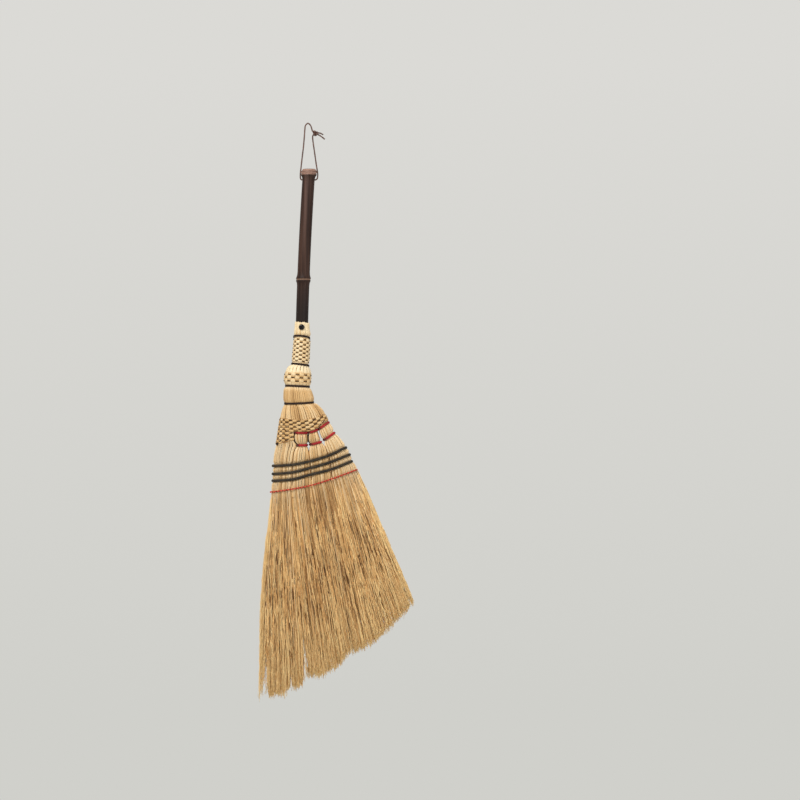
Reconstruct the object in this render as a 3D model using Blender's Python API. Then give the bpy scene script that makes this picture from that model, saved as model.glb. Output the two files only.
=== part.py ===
import math
import random

import bpy
import bmesh
from mathutils import Vector

# A hand-tied straw broom on a bamboo handle, hanging by its leather loop.
# Sizes are in metres. Z is up, X runs across the broom's flat face, the front faces -Y.
# The origin is the point of the loop that a hook carries.

GAP = 0.0003  # clearance between pieces that touch
SEAM_GAP = 0.0006  # clearance between stacked straw pieces, whose faces are curved
CUT_OVERRUN = 0.002  # how far a cutter passes the face it cuts

# leather loop
THONG_DIAMETER = 0.002
THONG_STEP = 0.0031  # spacing of the points along a thong
LOOP_DROP = 0.084  # from the hook down to the hole through the handle
KNOT_LENGTH = 0.0088
KNOT_HEIGHT = 0.0066
KNOT_DEPTH = 0.0060
KNOT_X = 0.0110
KNOT_DROP = 0.0138

# bamboo handle
CULM_RADIUS = 0.0093
CULM_WALL = 0.0028
HANDLE_VISIBLE = 0.2303  # from the cut top down to the straw collar
HANDLE_IN_HEAD = 0.093
HANDLE_TOP_X = 0.0018
HANDLE_DRIFT = 0.0108  # how far the handle leans to the left on its way down
HANDLE_BOW = 0.00116
HOLE_FROM_TOP = 0.0165
THONG_HOLE_RADIUS = 0.0018
TOP_NODE_FROM_TOP = 0.0060
NODE_SPACING = 0.159
NODE_HALF_LENGTH = 0.0105
NODE_SWELL = 0.0018
TOP_NODE_SWELL = 0.0023
TOP_EDGE_ROUND = 0.0010
SEPTUM_THICKNESS = 0.004
CUP_DEPTH = 0.0025
CUP_RADIUS = 0.0050

# peg that pins the handle in the head
PEG_RADIUS = 0.0039
PEG_DROP = 0.0071  # from the collar's edge down to the peg
PEG_DOME = 0.0012

# neck: stalks bound round the handle
NECK_LENGTH = 0.1205  # from the collar's edge to the lowest black binding
STALK_LAYER = 0.020  # thickest layer of stalks outside the handle
NECK_TILT = 0.0030  # how much lower a binding's right end may lie
BINDING_DIAMETER = 0.0009
BINDING_TURNS = 2
WINDING_GAP = 0.00046  # free space between two turns of a winding
VALLEY_HALF = 0.0016  # half the flat floor that a binding lies on
WEAVE_THICKNESS = 0.0011
WEAVE_MARGIN = 0.0010  # plain straw between a binding's valley and the weave

# fan of straw below the neck
HEAD_WIDTH = 0.2325  # at the tips
FAN_LENGTH = 0.4420  # from the lowest black binding to the lowest tip
HEAD_DEPTH = 0.0372  # at the shoulder
BUNDLE_GAP = 0.0007
TIE_DIAMETER = 0.0016
TIE_ROOM = 0.0007  # free space beside a tied bundle, on top of its cord
TIE_VALLEY = 0.0014  # half the flat floor that a tie lies on
LINK_DIAMETER = 0.0011
LINK_ROOM = 0.0004  # free space under a link cord where the straw swells steeply
NAVY_DIAMETER = 0.0030
NAVY_SINK = 0.0021  # how deep a navy row draws the straw in
RED_DIAMETER = 0.0012
RED_SINK = 0.0007
ROW_SAG = 0.0003  # allowance for the straight runs between a row's points
OPEN_TURN = 0.965  # a single turn, open at the back where the real cord is knotted
BEAD_RADIUS = 0.0018
SLICE_DROP = 0.0030  # height of the straw that the bristles grow from
RAGGED = 0.0035  # how uneven the cut tips are

NECK_SIDES = 12  # points on the front half of a neck section
BUNDLE_SIDES = 8
ROW_SIDES = 15
SHOULDER_SIDES = 20
HANDLE_SIDES = 8
BRISTLE_DEPTH_COUNT = 6

# Each row of neck_shares: drop of the neck's length, tilt, then the left, right and front
# layer of stalks outside the handle's bore. Rows marked True carry a black binding.
neck_shares = [
    (0.000, 0.40, 0.060, 0.065, 0.065, False),
    (0.014, 0.40, 0.095, 0.100, 0.100, False),
    (0.075, 0.60, 0.090, 0.125, 0.110, False),
    (0.137, 0.75, 0.110, 0.205, 0.150, False),
    (0.181, 0.83, 0.087, 0.110, 0.100, True),
    (0.218, 0.83, 0.125, 0.200, 0.160, False),
    (0.340, 0.90, 0.165, 0.185, 0.170, False),
    (0.450, 0.95, 0.212, 0.180, 0.175, False),
    (0.527, 1.00, 0.192, 0.098, 0.140, True),
    (0.567, 0.90, 0.505, 0.225, 0.280, False),
    (0.617, 0.80, 0.645, 0.305, 0.370, False),
    (0.666, 0.65, 0.735, 0.315, 0.410, False),
    (0.716, 0.60, 0.760, 0.307, 0.415, False),
    (0.763, 0.55, 0.705, 0.285, 0.385, False),
    (0.794, 0.53, 0.610, 0.185, 0.330, True),
    (0.832, 0.30, 0.765, 0.345, 0.410, False),
    (0.890, 0.00, 0.775, 0.485, 0.455, False),
    (0.940, -0.40, 0.780, 0.575, 0.460, False),
    (0.973, -0.55, 0.735, 0.585, 0.430, False),
    (1.000, -0.60, 0.645, 0.530, 0.380, True),
]
neck_edge_share = 0.13  # depth of a neck section's left and right ends

dome_shares = [(0.0, 0.5), (0.5, 0.85), (1.0, 1.0)]  # a peg's end: depth of the dome, radius

# Node swellings of the culm, as shares of the node's half length and its swell.
node_shares = [(-1.0, 0.0), (-0.30, 0.5), (0.0, 1.0), (0.15, 0.75), (0.3, 0.9), (1.0, 0.0)]

# Rows across the fan, left edge to right edge, at the borders between the bundles:
# across the head's width from the handle's line, and down the fan's length.
row_shares = {
    "flare": [(-0.120, 0.0112), (-0.068, 0.0124), (-0.013, 0.0137), (0.045, 0.0112), (0.102, 0.0061)],
    "spread": [(-0.133, 0.0315), (-0.071, 0.0354), (-0.006, 0.0366), (0.065, 0.0328), (0.135, 0.0239)],
    "weave_top": [(-0.142, 0.0519), (-0.072, 0.0557), (-0.003, 0.0583), (0.068, 0.0544), (0.152, 0.0404)],
    "seam": [(-0.146, 0.0633), (-0.071, 0.0697), (0.003, 0.0723), (0.077, 0.0659), (0.164, 0.0519)],
    "upper_tie": [(-0.157, 0.1053), (-0.054, 0.1041), (0.038, 0.1041), (0.103, 0.0926), (0.175, 0.0633)],
    "barrel": [(-0.163, 0.1244), (-0.050, 0.1232), (0.040, 0.1232), (0.116, 0.1117), (0.195, 0.0799)],
    "lower_tie": [(-0.170, 0.1448), (-0.045, 0.1435), (0.042, 0.1423), (0.132, 0.1295), (0.217, 0.0964)],
    "waist": [(-0.183, 0.1753), (-0.055, 0.1741), (0.045, 0.1664), (0.152, 0.1499), (0.253, 0.1232)],
    "navy_1": [(-0.190, 0.2110), (-0.061, 0.2084), (0.050, 0.1995), (0.173, 0.1779), (0.290, 0.1486)],
    "navy_2": [(-0.194, 0.2415), (-0.062, 0.2352), (0.054, 0.2237), (0.183, 0.1995), (0.315, 0.1728)],
    "navy_3": [(-0.196, 0.2644), (-0.063, 0.2593), (0.058, 0.2466), (0.189, 0.2237), (0.329, 0.1957)],
    "red": [(-0.201, 0.3026), (-0.065, 0.2911), (0.062, 0.2759), (0.197, 0.2568), (0.361, 0.2250)],
    "slice": [(-0.202, 0.3115), (-0.065, 0.3001), (0.064, 0.2848), (0.201, 0.2657), (0.368, 0.2339)],
    "tips": [(-0.280, 0.9987), (0.065, 0.9351), (0.257, 0.8778), (0.450, 0.8180), (0.720, 0.6729)],
}
# Half depth of each row, as a share of half the head's depth, and the share of that
# depth which is left at the fan's two edges.
row_depth_shares = {
    "flare": (0.989, 0.16),
    "spread": (1.000, 0.22),
    "weave_top": (0.962, 0.30),
    "seam": (0.925, 0.34),
    "upper_tie": (0.840, 0.40),
    "barrel": (0.860, 0.40),
    "lower_tie": (0.760, 0.42),
    "waist": (0.760, 0.44),
    "navy_1": (0.710, 0.45),
    "navy_2": (0.700, 0.45),
    "navy_3": (0.700, 0.45),
    "red": (0.700, 0.45),
    "slice": (0.700, 0.45),
    "tips": (0.860, 0.45),
}
tie_depth_share = 0.82  # how far a tie draws a bundle in, front to back
lower_tie_width_share = 0.88
pillow_share = 0.16  # how much thinner a bundle is at its own two sides
barrel_shares = (0.45, 0.55)  # where a tied bundle swells to its full width between its ties
waist_share = 0.45  # and below the lower one
left_weave_drop_share = 0.1397  # lower edge of the weave over the untied stalks, at the left
left_weave_rise_share = 0.1244
left_weave_row_share = 0.8
bead_share = 0.10  # where the weaving cord is knotted off, along the row
root_fill_share = 0.86  # part of its cell that a bristle fills where it starts
tip_fill_share = 0.74
bend_shares = (0.50, -0.0095)  # where the left bristles bend, and how far they bow out

# Borders of the bundles along a row, which is 0 at the left edge and 4 at the right,
# and how many bristles stand side by side in each.
bundles = {
    "left_1": (0.0, 0.5, 9),
    "left_2": (0.5, 1.0, 9),
    "a": (1.0, 2.0, 10),
    "b": (2.0, 3.0, 10),
    "c": (3.0, 4.0, 14),
}
ROW_SPAN = 4.0

# Routes of the thong in the plane of the fan. The left one starts inside the culm and
# runs over the hook to the knot, and the right one ends under the knot.
left_route = [
    (0.00057, -0.0840), (-0.0040, -0.0840), (-0.0080, -0.0840), (-0.0103, -0.0832),
    (-0.0114, -0.0808), (-0.0115, -0.0755), (-0.0111, -0.0710), (-0.0103, -0.0640),
    (-0.0093, -0.0550), (-0.0081, -0.0450), (-0.0069, -0.0350), (-0.0059, -0.0240),
    (-0.0052, -0.0150), (-0.0047, -0.0080), (-0.0038, -0.0024), (-0.0002, 0.0010),
    (0.0036, -0.0018), (0.0053, -0.0060), (0.0066, -0.0103),
]
right_route = [
    (0.00087, -0.0840), (0.0050, -0.0840), (0.0097, -0.0840), (0.0125, -0.0833),
    (0.0142, -0.0808), (0.0146, -0.0755), (0.0138, -0.0690), (0.0123, -0.0600),
    (0.0107, -0.0480), (0.0092, -0.0370), (0.0080, -0.0270), (0.0077, -0.0212),
    (0.0076, -0.0175),
]
short_tail_route = [(0.0158, -0.0134), (0.0180, -0.0138), (0.0205, -0.0148), (0.0229, -0.0163)]
long_tail_route = [
    (0.0152, -0.0160), (0.0176, -0.0172), (0.0203, -0.0190), (0.0229, -0.0210), (0.0251, -0.0229),
]

HANDLE_TOP_Z = HOLE_FROM_TOP - LOOP_DROP
COLLAR_Z = HANDLE_TOP_Z - HANDLE_VISIBLE
FAN_Z = COLLAR_Z - NECK_LENGTH
BORE_RADIUS = CULM_RADIUS + GAP
END_SLOPE = (HANDLE_DRIFT - 4 * HANDLE_BOW) / HANDLE_VISIBLE
COLLAR_X = HANDLE_TOP_X - HANDLE_DRIFT


def linear(level):
    part = level / 255
    return part / 12.92 if part <= 0.04045 else ((part + 0.055) / 1.055) ** 2.4


def material(name, colour, roughness, metallic=0.0):
    made = bpy.data.materials.get(name) or bpy.data.materials.new(name)
    made.use_nodes = True
    shader = made.node_tree.nodes["Principled BSDF"]
    shader.inputs["Base Color"].default_value = (*[linear(c) for c in colour], 1)
    shader.inputs["Roughness"].default_value = roughness
    shader.inputs["Metallic"].default_value = metallic
    return made


def finishes():
    return {
        "bamboo": material("dark bamboo", (84, 62, 54), 0.38),
        "peg": material("black peg", (30, 24, 22), 0.3),
        "straw": material("pale straw", (214, 180, 128), 0.6),
        "bristle": material("bristle straw", (188, 152, 102), 0.65),
        "weave": material("woven straw", (190, 158, 108), 0.65),
        "black": material("black cord", (38, 28, 22), 0.55),
        "navy": material("navy cord", (46, 46, 52), 0.6),
        "red": material("red cord", (160, 30, 36), 0.5),
        "red_row": material("red stitch", (205, 60, 42), 0.5),
        "thong": material("brown leather", (104, 72, 58), 0.5),
    }


def clear_scene():
    for thing in list(bpy.data.objects):
        bpy.data.objects.remove(thing, do_unlink=True)


def finish_object(name, mesh, finish):
    made = bpy.data.objects.new(name, mesh)
    bpy.context.collection.objects.link(made)
    if finish is None:
        made.hide_render = True
        made.display_type = "WIRE"
    else:
        mesh.materials.append(finish)
    return made


def mesh_from(name, bm, finish, sharp_angle=math.radians(50)):
    bmesh.ops.recalc_face_normals(bm, faces=bm.faces)
    mesh = bpy.data.meshes.new(name)
    bm.to_mesh(mesh)
    bm.free()
    mesh.shade_smooth()
    mesh.set_sharp_from_angle(angle=sharp_angle)
    return finish_object(name, mesh, finish)


def loft(name, sections, finish, tube=False):
    """Skin sections, each a front and a back list of points from left to right.

    A tube's first and last sections are joined, which makes a band with a wall."""
    bm = bmesh.new()
    loops = []
    for front, back in sections:
        loops.append(([bm.verts.new(p) for p in front], [bm.verts.new(p) for p in back]))
    pairs = list(zip(loops, loops[1:]))
    if tube:
        pairs.append((loops[-1], loops[0]))
    for (f0, b0), (f1, b1) in pairs:
        around0 = f0 + b0[::-1]
        around1 = f1 + b1[::-1]
        count = len(around0)
        for i in range(count):
            j = (i + 1) % count
            bm.faces.new((around0[i], around0[j], around1[j], around1[i]))
    if not tube:
        for front, back in (loops[0], loops[-1]):
            for i in range(len(front) - 1):
                bm.faces.new((front[i], front[i + 1], back[i + 1], back[i]))
    return mesh_from(name, bm, finish)


def cut(body, cutter):
    boolean = body.modifiers.new("cut " + cutter.name, "BOOLEAN")
    boolean.operation = "DIFFERENCE"
    boolean.solver = "EXACT"
    boolean.object = cutter


def smooth_route(points, step):
    """Points at an even step along a Catmull-Rom curve through the route's own points."""
    padded = [2 * points[0] - points[1], *points, 2 * points[-1] - points[-2]]
    fine = []
    pieces = 24
    for k in range(1, len(padded) - 2):
        p0, p1, p2, p3 = padded[k - 1:k + 3]
        for i in range(pieces):
            t = i / pieces
            fine.append(
                0.5 * (2 * p1 + (p2 - p0) * t + (2 * p0 - 5 * p1 + 4 * p2 - p3) * t * t
                       + (3 * p1 - p0 - 3 * p2 + p3) * t ** 3)
            )
    fine.append(points[-1])
    lengths = [0.0]
    for a, b in zip(fine, fine[1:]):
        lengths.append(lengths[-1] + (b - a).length)
    count = max(2, round(lengths[-1] / step))
    chosen = []
    at = 0
    for i in range(count + 1):
        goal = lengths[-1] * i / count
        while at < len(fine) - 2 and lengths[at + 1] < goal:
            at += 1
        share = (goal - lengths[at]) / (lengths[at + 1] - lengths[at])
        chosen.append(fine[at].lerp(fine[at + 1], min(1.0, share)))
    return chosen


def tube(name, points, diameter, finish, resolution):
    curve = bpy.data.curves.new(name, "CURVE")
    curve.dimensions = "3D"
    curve.bevel_depth = diameter / 2
    curve.bevel_resolution = resolution
    curve.use_fill_caps = True
    spline = curve.splines.new("POLY")
    spline.points.add(len(points) - 1)
    for knot, point in zip(spline.points, points):
        knot.co = (*point, 1)
    return finish_object(name, curve, finish)


def handle_x(z):
    down = HANDLE_TOP_Z - z
    if down > HANDLE_VISIBLE:
        return COLLAR_X - END_SLOPE * (down - HANDLE_VISIBLE)
    t = down / HANDLE_VISIBLE
    return HANDLE_TOP_X - HANDLE_DRIFT * t - 4 * HANDLE_BOW * t * (1 - t)


def round_section(z, radius, sides=HANDLE_SIDES):
    front = []
    back = []
    for j in range(sides):
        angle = math.pi * (j + 0.5) / sides
        x = handle_x(z) - radius * math.cos(angle)
        front.append(Vector((x, -radius * math.sin(angle), z)))
        back.append(Vector((x, radius * math.sin(angle), z)))
    return front, back


def bar(name, start, end, radius, finish, sides=HANDLE_SIDES, dome=0.0):
    """A round bar between two points on a line along X or Y, with domed ends if asked."""
    along = (end - start).normalized()
    across = along.cross(Vector((0, 0, 1)))
    stops = [(start, radius), (end, radius)]
    if dome:
        rounding = [(in_share * dome, radius * size_share) for in_share, size_share in dome_shares]
        stops = [(start + along * depth, size) for depth, size in rounding]
        stops += [(end - along * depth, size) for depth, size in reversed(rounding)]
    sections = []
    for centre, size in stops:
        front = []
        back = []
        for j in range(sides):
            angle = math.pi * (j + 0.5) / sides
            middle = centre - across * size * math.cos(angle)
            rise = Vector((0, 0, size * math.sin(angle)))
            front.append(middle - rise)
            back.append(middle + rise)
        sections.append((front, back))
    return loft(name, sections, finish)


def spline_through(points, s):
    """A smooth row through its five points, at s from 0 to 4."""
    padded = [2 * points[0] - points[1], *points, 2 * points[-1] - points[-2]]
    k = min(int(s), len(points) - 2)
    t = s - k
    p0, p1, p2, p3 = padded[k:k + 4]
    return 0.5 * (2 * p1 + (p2 - p0) * t + (2 * p0 - 5 * p1 + 4 * p2 - p3) * t * t
                  + (3 * p1 - p0 - 3 * p2 + p3) * t ** 3)


def profile(s, edge):
    c = (s - ROW_SPAN / 2) / (ROW_SPAN / 2)
    return edge + (1 - edge) * math.sqrt(max(0.0, 1 - c * c))


def row_stops(sides):
    """Places along a row from 0 to 4, closer together at its two ends."""
    first = math.cos(math.pi * 0.5 / sides)
    stops = [ROW_SPAN / 2 * (1 - math.cos(math.pi * (j + 0.5) / sides) / first) for j in range(sides)]
    return [min(ROW_SPAN, max(0.0, s)) for s in stops]


class Row:
    """One cross-section of the straw: a line from edge to edge and a depth on each side."""

    def __init__(self, points, half_depth, edge):
        self.points = points
        self.half_depth = half_depth
        self.edge = edge

    def at(self, s):
        return spline_through(self.points, s)

    def depth(self, s):
        return self.half_depth * profile(s, self.edge)

    def lowered(self, drop):
        lower = [p - Vector((0, 0, drop)) for p in self.points]
        return Row(lower, self.half_depth, self.edge)

    def width(self, s0=0.0, s1=ROW_SPAN):
        return (self.at(s1) - self.at(s0)).length

    def mixed(self, other, share):
        points = [a.lerp(b, share) for a, b in zip(self.points, other.points)]
        half_depth = self.half_depth + (other.half_depth - self.half_depth) * share
        return Row(points, half_depth, self.edge + (other.edge - self.edge) * share)

    def outline(self, sides):
        """Front and back points all round the row."""
        front = []
        back = []
        for s in row_stops(sides):
            depth = Vector((0, self.depth(s), 0))
            front.append(self.at(s) - depth)
            back.append(self.at(s) + depth)
        return front, back


def fan_row(name):
    points = []
    for across_share, down_share in row_shares[name]:
        points.append(Vector((COLLAR_X + across_share * HEAD_WIDTH, 0, FAN_Z - down_share * FAN_LENGTH)))
    depth_share, edge_share = row_depth_shares[name]
    return Row(points, depth_share * HEAD_DEPTH / 2, edge_share)


def neck_row(drop_share, tilt_share, left, right, front):
    z = COLLAR_Z - drop_share * NECK_LENGTH
    tilt = tilt_share * NECK_TILT / 2
    x = handle_x(z)
    start = Vector((x - BORE_RADIUS - left * STALK_LAYER, 0, z + tilt))
    end = Vector((x + BORE_RADIUS + right * STALK_LAYER, 0, z - tilt))
    points = [start.lerp(end, k / ROW_SPAN) for k in range(int(ROW_SPAN) + 1)]
    return Row(points, BORE_RADIUS + front * STALK_LAYER, neck_edge_share)


def neck_profile(drop):
    """The neck's row at any drop below the collar's edge, read between the shares."""
    share = drop / NECK_LENGTH
    rows = neck_shares
    for above, below in zip(rows, rows[1:]):
        if share <= below[0]:
            t = (share - above[0]) / (below[0] - above[0])
            mixed = [a + (b - a) * t for a, b in zip(above[:5], below[:5])]
            return neck_row(*mixed)
    return neck_row(*rows[-1][:5])


def ring_of(section):
    front, back = section
    return list(front) + list(reversed(back))


def offset_ring(ring, amount):
    """Move a ring's points outwards in plan, with mitred corners."""
    moved = []
    count = len(ring)
    for i, point in enumerate(ring):
        before = point - ring[i - 1]
        after = ring[(i + 1) % count] - point
        n1 = Vector((before.y, -before.x, 0)).normalized()
        n2 = Vector((after.y, -after.x, 0)).normalized()
        moved.append(point + (n1 + n2) * (amount / (1 + n1.dot(n2))))
    return moved


def split_ring(ring):
    half = len(ring) // 2
    return ring[:half], list(reversed(ring[half:]))


def inset_section(section, amount):
    return split_ring(offset_ring(ring_of(section), -amount))


def least_gap(points, diameter):
    """Least free space between parts of a winding that are not neighbours along it."""
    least = None
    reach = [0.0]
    for a, b in zip(points, points[1:]):
        reach.append(reach[-1] + (b - a).length)
    for i, a in enumerate(points):
        for j in range(i + 1, len(points)):
            if reach[j] - reach[i] > 4 * diameter:
                space = (points[j] - a).length - diameter
                least = space if least is None else min(least, space)
    return least


def wind(name, ring_at, turns, diameter, finish):
    """One unbroken cord wound round the ring that ring_at gives for a drop."""
    pitch = diameter + WINDING_GAP
    count = len(ring_at(0.0))
    start = count * 3 // 4  # the middle of the back
    points = []
    steps = round(turns * count)
    for i in range(steps + 1):
        drop = pitch * (i / count - turns / 2)
        points.append(ring_at(drop)[(start + i) % count])
    gap = least_gap(points, diameter)
    if gap is not None:
        print(f"{name}: least gap to itself {gap * 1000:.2f} mm")
    return tube(name, points, diameter, finish, 1)


def make_loop(finish):
    routes = {
        "loop_leg_left": left_route,
        "loop_leg_right": right_route,
        "loop_tail_short": short_tail_route,
        "loop_tail_long": long_tail_route,
    }
    for name, route in routes.items():
        points = smooth_route([Vector((x, 0, z)) for x, z in route], THONG_STEP)
        tube(name, points, THONG_DIAMETER, finish, 2)


def make_knot(finish):
    bm = bmesh.new()
    bmesh.ops.create_uvsphere(bm, u_segments=12, v_segments=8, radius=1)
    for vert in bm.verts:
        vert.co.x = vert.co.x * KNOT_LENGTH / 2 + KNOT_X
        vert.co.y = vert.co.y * KNOT_DEPTH / 2
        vert.co.z = vert.co.z * KNOT_HEIGHT / 2 - KNOT_DROP
    return mesh_from("loop_knot", bm, finish)


def culm_radius(down):
    """The culm's radius at a distance below its cut top."""
    radius = CULM_RADIUS
    nodes = ((TOP_NODE_FROM_TOP, TOP_NODE_SWELL), (TOP_NODE_FROM_TOP + NODE_SPACING, NODE_SWELL))
    for middle, swell in nodes:
        for (a, high_a), (b, high_b) in zip(node_shares, node_shares[1:]):
            t = (down - middle) / NODE_HALF_LENGTH
            if a <= t <= b:
                radius += swell * (high_a + (high_b - high_a) * (t - a) / (b - a))
                return radius
    return radius


def make_handle(finish):
    second_node = TOP_NODE_FROM_TOP + NODE_SPACING
    length = HANDLE_VISIBLE + HANDLE_IN_HEAD
    downs = [TOP_EDGE_ROUND, second_node / 3, second_node * 2 / 3, HANDLE_VISIBLE, length]
    for middle in (TOP_NODE_FROM_TOP, second_node):
        downs += [middle + share * NODE_HALF_LENGTH for share, _ in node_shares]
    downs = sorted(d for d in downs if d >= TOP_EDGE_ROUND)
    sections = [round_section(HANDLE_TOP_Z, culm_radius(0.0) - TOP_EDGE_ROUND)]
    sections += [round_section(HANDLE_TOP_Z - d, culm_radius(d)) for d in downs]
    handle = loft("handle", sections, finish)

    def hollow(name, tops, radius):
        body = loft(name, [round_section(HANDLE_TOP_Z - d, radius) for d in tops], None)
        cut(handle, body)

    inner = CULM_RADIUS - CULM_WALL
    half_septum = SEPTUM_THICKNESS / 2
    hollow("cup_cutter", (-CUT_OVERRUN, CUP_DEPTH), CUP_RADIUS)
    cell_top = TOP_NODE_FROM_TOP + half_septum
    cell_stops = [cell_top, second_node / 3, second_node * 2 / 3, second_node - half_septum]
    hollow("upper_cell_cutter", cell_stops, inner)
    hollow("lower_cell_cutter", (second_node + half_septum, HANDLE_VISIBLE, length + CUT_OVERRUN), inner)
    reach = CULM_RADIUS + TOP_NODE_SWELL + CUT_OVERRUN
    hole = Vector((handle_x(-LOOP_DROP), 0, -LOOP_DROP))
    side = Vector((reach, 0, 0))
    cut(handle, bar("thong_hole_cutter", hole - side, hole + side, THONG_HOLE_RADIUS, None, sides=6))
    return handle


def peg_ends():
    z = COLLAR_Z - PEG_DROP
    half = neck_profile(PEG_DROP).half_depth + PEG_DOME
    centre = Vector((handle_x(z), 0, z))
    return centre - Vector((0, half, 0)), centre + Vector((0, half, 0))


def make_peg(finish, bodies):
    start, end = peg_ends()
    bar("handle_peg", start, end, PEG_RADIUS, finish, sides=6, dome=PEG_DOME)
    over = Vector((0, CUT_OVERRUN, 0))
    cutter = bar("peg_hole_cutter", start - over, end + over, PEG_RADIUS + GAP, None, sides=8)
    for body in bodies:
        cut(body, cutter)


def neck_drops():
    """Every drop that needs a section, with the floor of each binding's valley."""
    drops = []
    for row in neck_shares:
        drop = row[0] * NECK_LENGTH
        drops += [drop - VALLEY_HALF, drop + VALLEY_HALF] if row[5] else [drop]
    return drops


def valley_drop(drop):
    """The drop whose row a section copies, so that the floor under a binding is level."""
    for row in neck_shares:
        centre = row[0] * NECK_LENGTH
        if row[5] and abs(drop - centre) <= VALLEY_HALF + GAP:
            return centre
    return drop


def neck_section_row(drop):
    source = valley_drop(drop)
    return neck_profile(source).lowered(drop - source)


def weave_span(first, last):
    """Drops of a woven band between two bindings' valleys."""
    return first + VALLEY_HALF + WEAVE_MARGIN, last - VALLEY_HALF - WEAVE_MARGIN


def binding_drops():
    return [row[0] * NECK_LENGTH for row in neck_shares if row[5]]


def bands():
    """Top and bottom drop of the woven bands on the neck."""
    b = binding_drops()
    belly = [row[0] * NECK_LENGTH for row in neck_shares if b[1] < row[0] * NECK_LENGTH < b[2]]
    return {"neck_weave": weave_span(b[0], b[1]), "bulge_weave": (belly[1], belly[-1])}


def make_neck(finish):
    drops = neck_drops()
    spans = bands()
    recess = WEAVE_THICKNESS + GAP
    sections = []
    stops = sorted(set(drops) | {d for span in spans.values() for d in span})
    for drop in stops:
        full = neck_section_row(drop).outline(NECK_SIDES)
        inside = any(top < drop < bottom for top, bottom in spans.values())
        starts = any(drop == top for top, _ in spans.values())
        ends = any(drop == bottom for _, bottom in spans.values())
        if starts:
            sections += [full, inset_section(full, recess)]
        elif ends:
            sections += [inset_section(full, recess), full]
        elif inside:
            sections.append(inset_section(full, recess))
        else:
            sections.append(full)
    for name in ("flare", "spread"):
        sections.append(fan_row(name).outline(NECK_SIDES))
    top = fan_row("weave_top").outline(NECK_SIDES)
    sections += [top, inset_section(top, recess)]
    sections.append(inset_section(fan_row("seam").outline(NECK_SIDES), recess))
    neck = loft("neck_stalks", sections, finish)
    ends = (HANDLE_VISIBLE - CUT_OVERRUN, HANDLE_VISIBLE + HANDLE_IN_HEAD + GAP)
    bore = [round_section(HANDLE_TOP_Z - d, BORE_RADIUS, NECK_SIDES) for d in ends]
    cut(neck, loft("bore_cutter", bore, None))
    return neck


def make_bands(finish):
    for name, (top, bottom) in bands().items():
        stops = [top + GAP]
        stops += [d for d in neck_drops() if top + 2 * GAP < d < bottom - 2 * GAP]
        stops.append(bottom - GAP)
        outer = [neck_section_row(d).outline(NECK_SIDES) for d in stops]
        inner = [inset_section(section, WEAVE_THICKNESS) for section in reversed(outer)]
        loft(name, outer + inner, finish, tube=True)


def make_bindings(finish):
    out = BINDING_DIAMETER / 2 + GAP
    for number, drop in enumerate(binding_drops(), 1):
        def ring_at(shift, centre=drop):
            row = neck_profile(centre).lowered(shift)
            return offset_ring(ring_of(row.outline(NECK_SIDES)), out)
        wind(f"neck_binding_{number}", ring_at, BINDING_TURNS, BINDING_DIAMETER, finish)


def bundle_section(row, s0, s1, sides, inset=0.0, squeeze=0.0, depth_share=1.0):
    """Front and back of one bundle at a row, drawn in at both sides by squeeze."""
    unit = row.width(s0, s1) / (s1 - s0)
    first = s0 + (BUNDLE_GAP / 2 + squeeze + (inset if s0 == 0 else 0)) / unit
    last = s1 - (BUNDLE_GAP / 2 + squeeze + (inset if s1 == ROW_SPAN else 0)) / unit
    front = []
    back = []
    for j in range(sides):
        t = j / (sides - 1)
        s = first + (last - first) * t
        pillow = 1 - pillow_share * abs(2 * t - 1) ** 4
        depth = Vector((0, (row.depth(s) - inset) * pillow * depth_share, 0))
        front.append(row.at(s) - depth)
        back.append(row.at(s) + depth)
    return front, back


def tie_section(place, s0, s1, drop=0.0):
    """A tied bundle's section under its upper or lower cord, moved down by drop."""
    row = fan_row(place + "_tie")
    squeeze = TIE_DIAMETER + TIE_ROOM
    if place == "lower":
        squeeze += row.width(s0, s1) * (1 - lower_tie_width_share) / 2
    return bundle_section(
        row.lowered(drop), s0, s1, BUNDLE_SIDES, squeeze=squeeze, depth_share=tie_depth_share
    )


def barrel_sections(s0, s1):
    """Sections of a tied bundle between its two cords."""
    upper = fan_row("upper_tie")
    barrel = fan_row("barrel")
    lower = fan_row("lower_tie")
    sections = [tie_section("upper", s0, s1, TIE_VALLEY)]
    shoulder_share, hip_share = barrel_shares
    for row in (upper.mixed(barrel, shoulder_share), barrel, barrel.mixed(lower, hip_share)):
        sections.append(bundle_section(row, s0, s1, BUNDLE_SIDES, squeeze=BUNDLE_GAP))
    sections.append(tie_section("lower", s0, s1, -TIE_VALLEY))
    return sections


def left_weave_row():
    """The row nearest the weave's lower edge over the untied stalks."""
    return fan_row("upper_tie").mixed(fan_row("lower_tie"), left_weave_row_share)


def weave_bottom(s):
    """Point on the lower edge of the shoulder's weave."""
    if s < 1.0:
        x = left_weave_row().at(s).x
        share = left_weave_drop_share + (left_weave_rise_share - left_weave_drop_share) * s
        return Vector((x, 0, FAN_Z - share * FAN_LENGTH))
    return fan_row("upper_tie").at(s) + Vector((0, 0, TIE_VALLEY))


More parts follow.
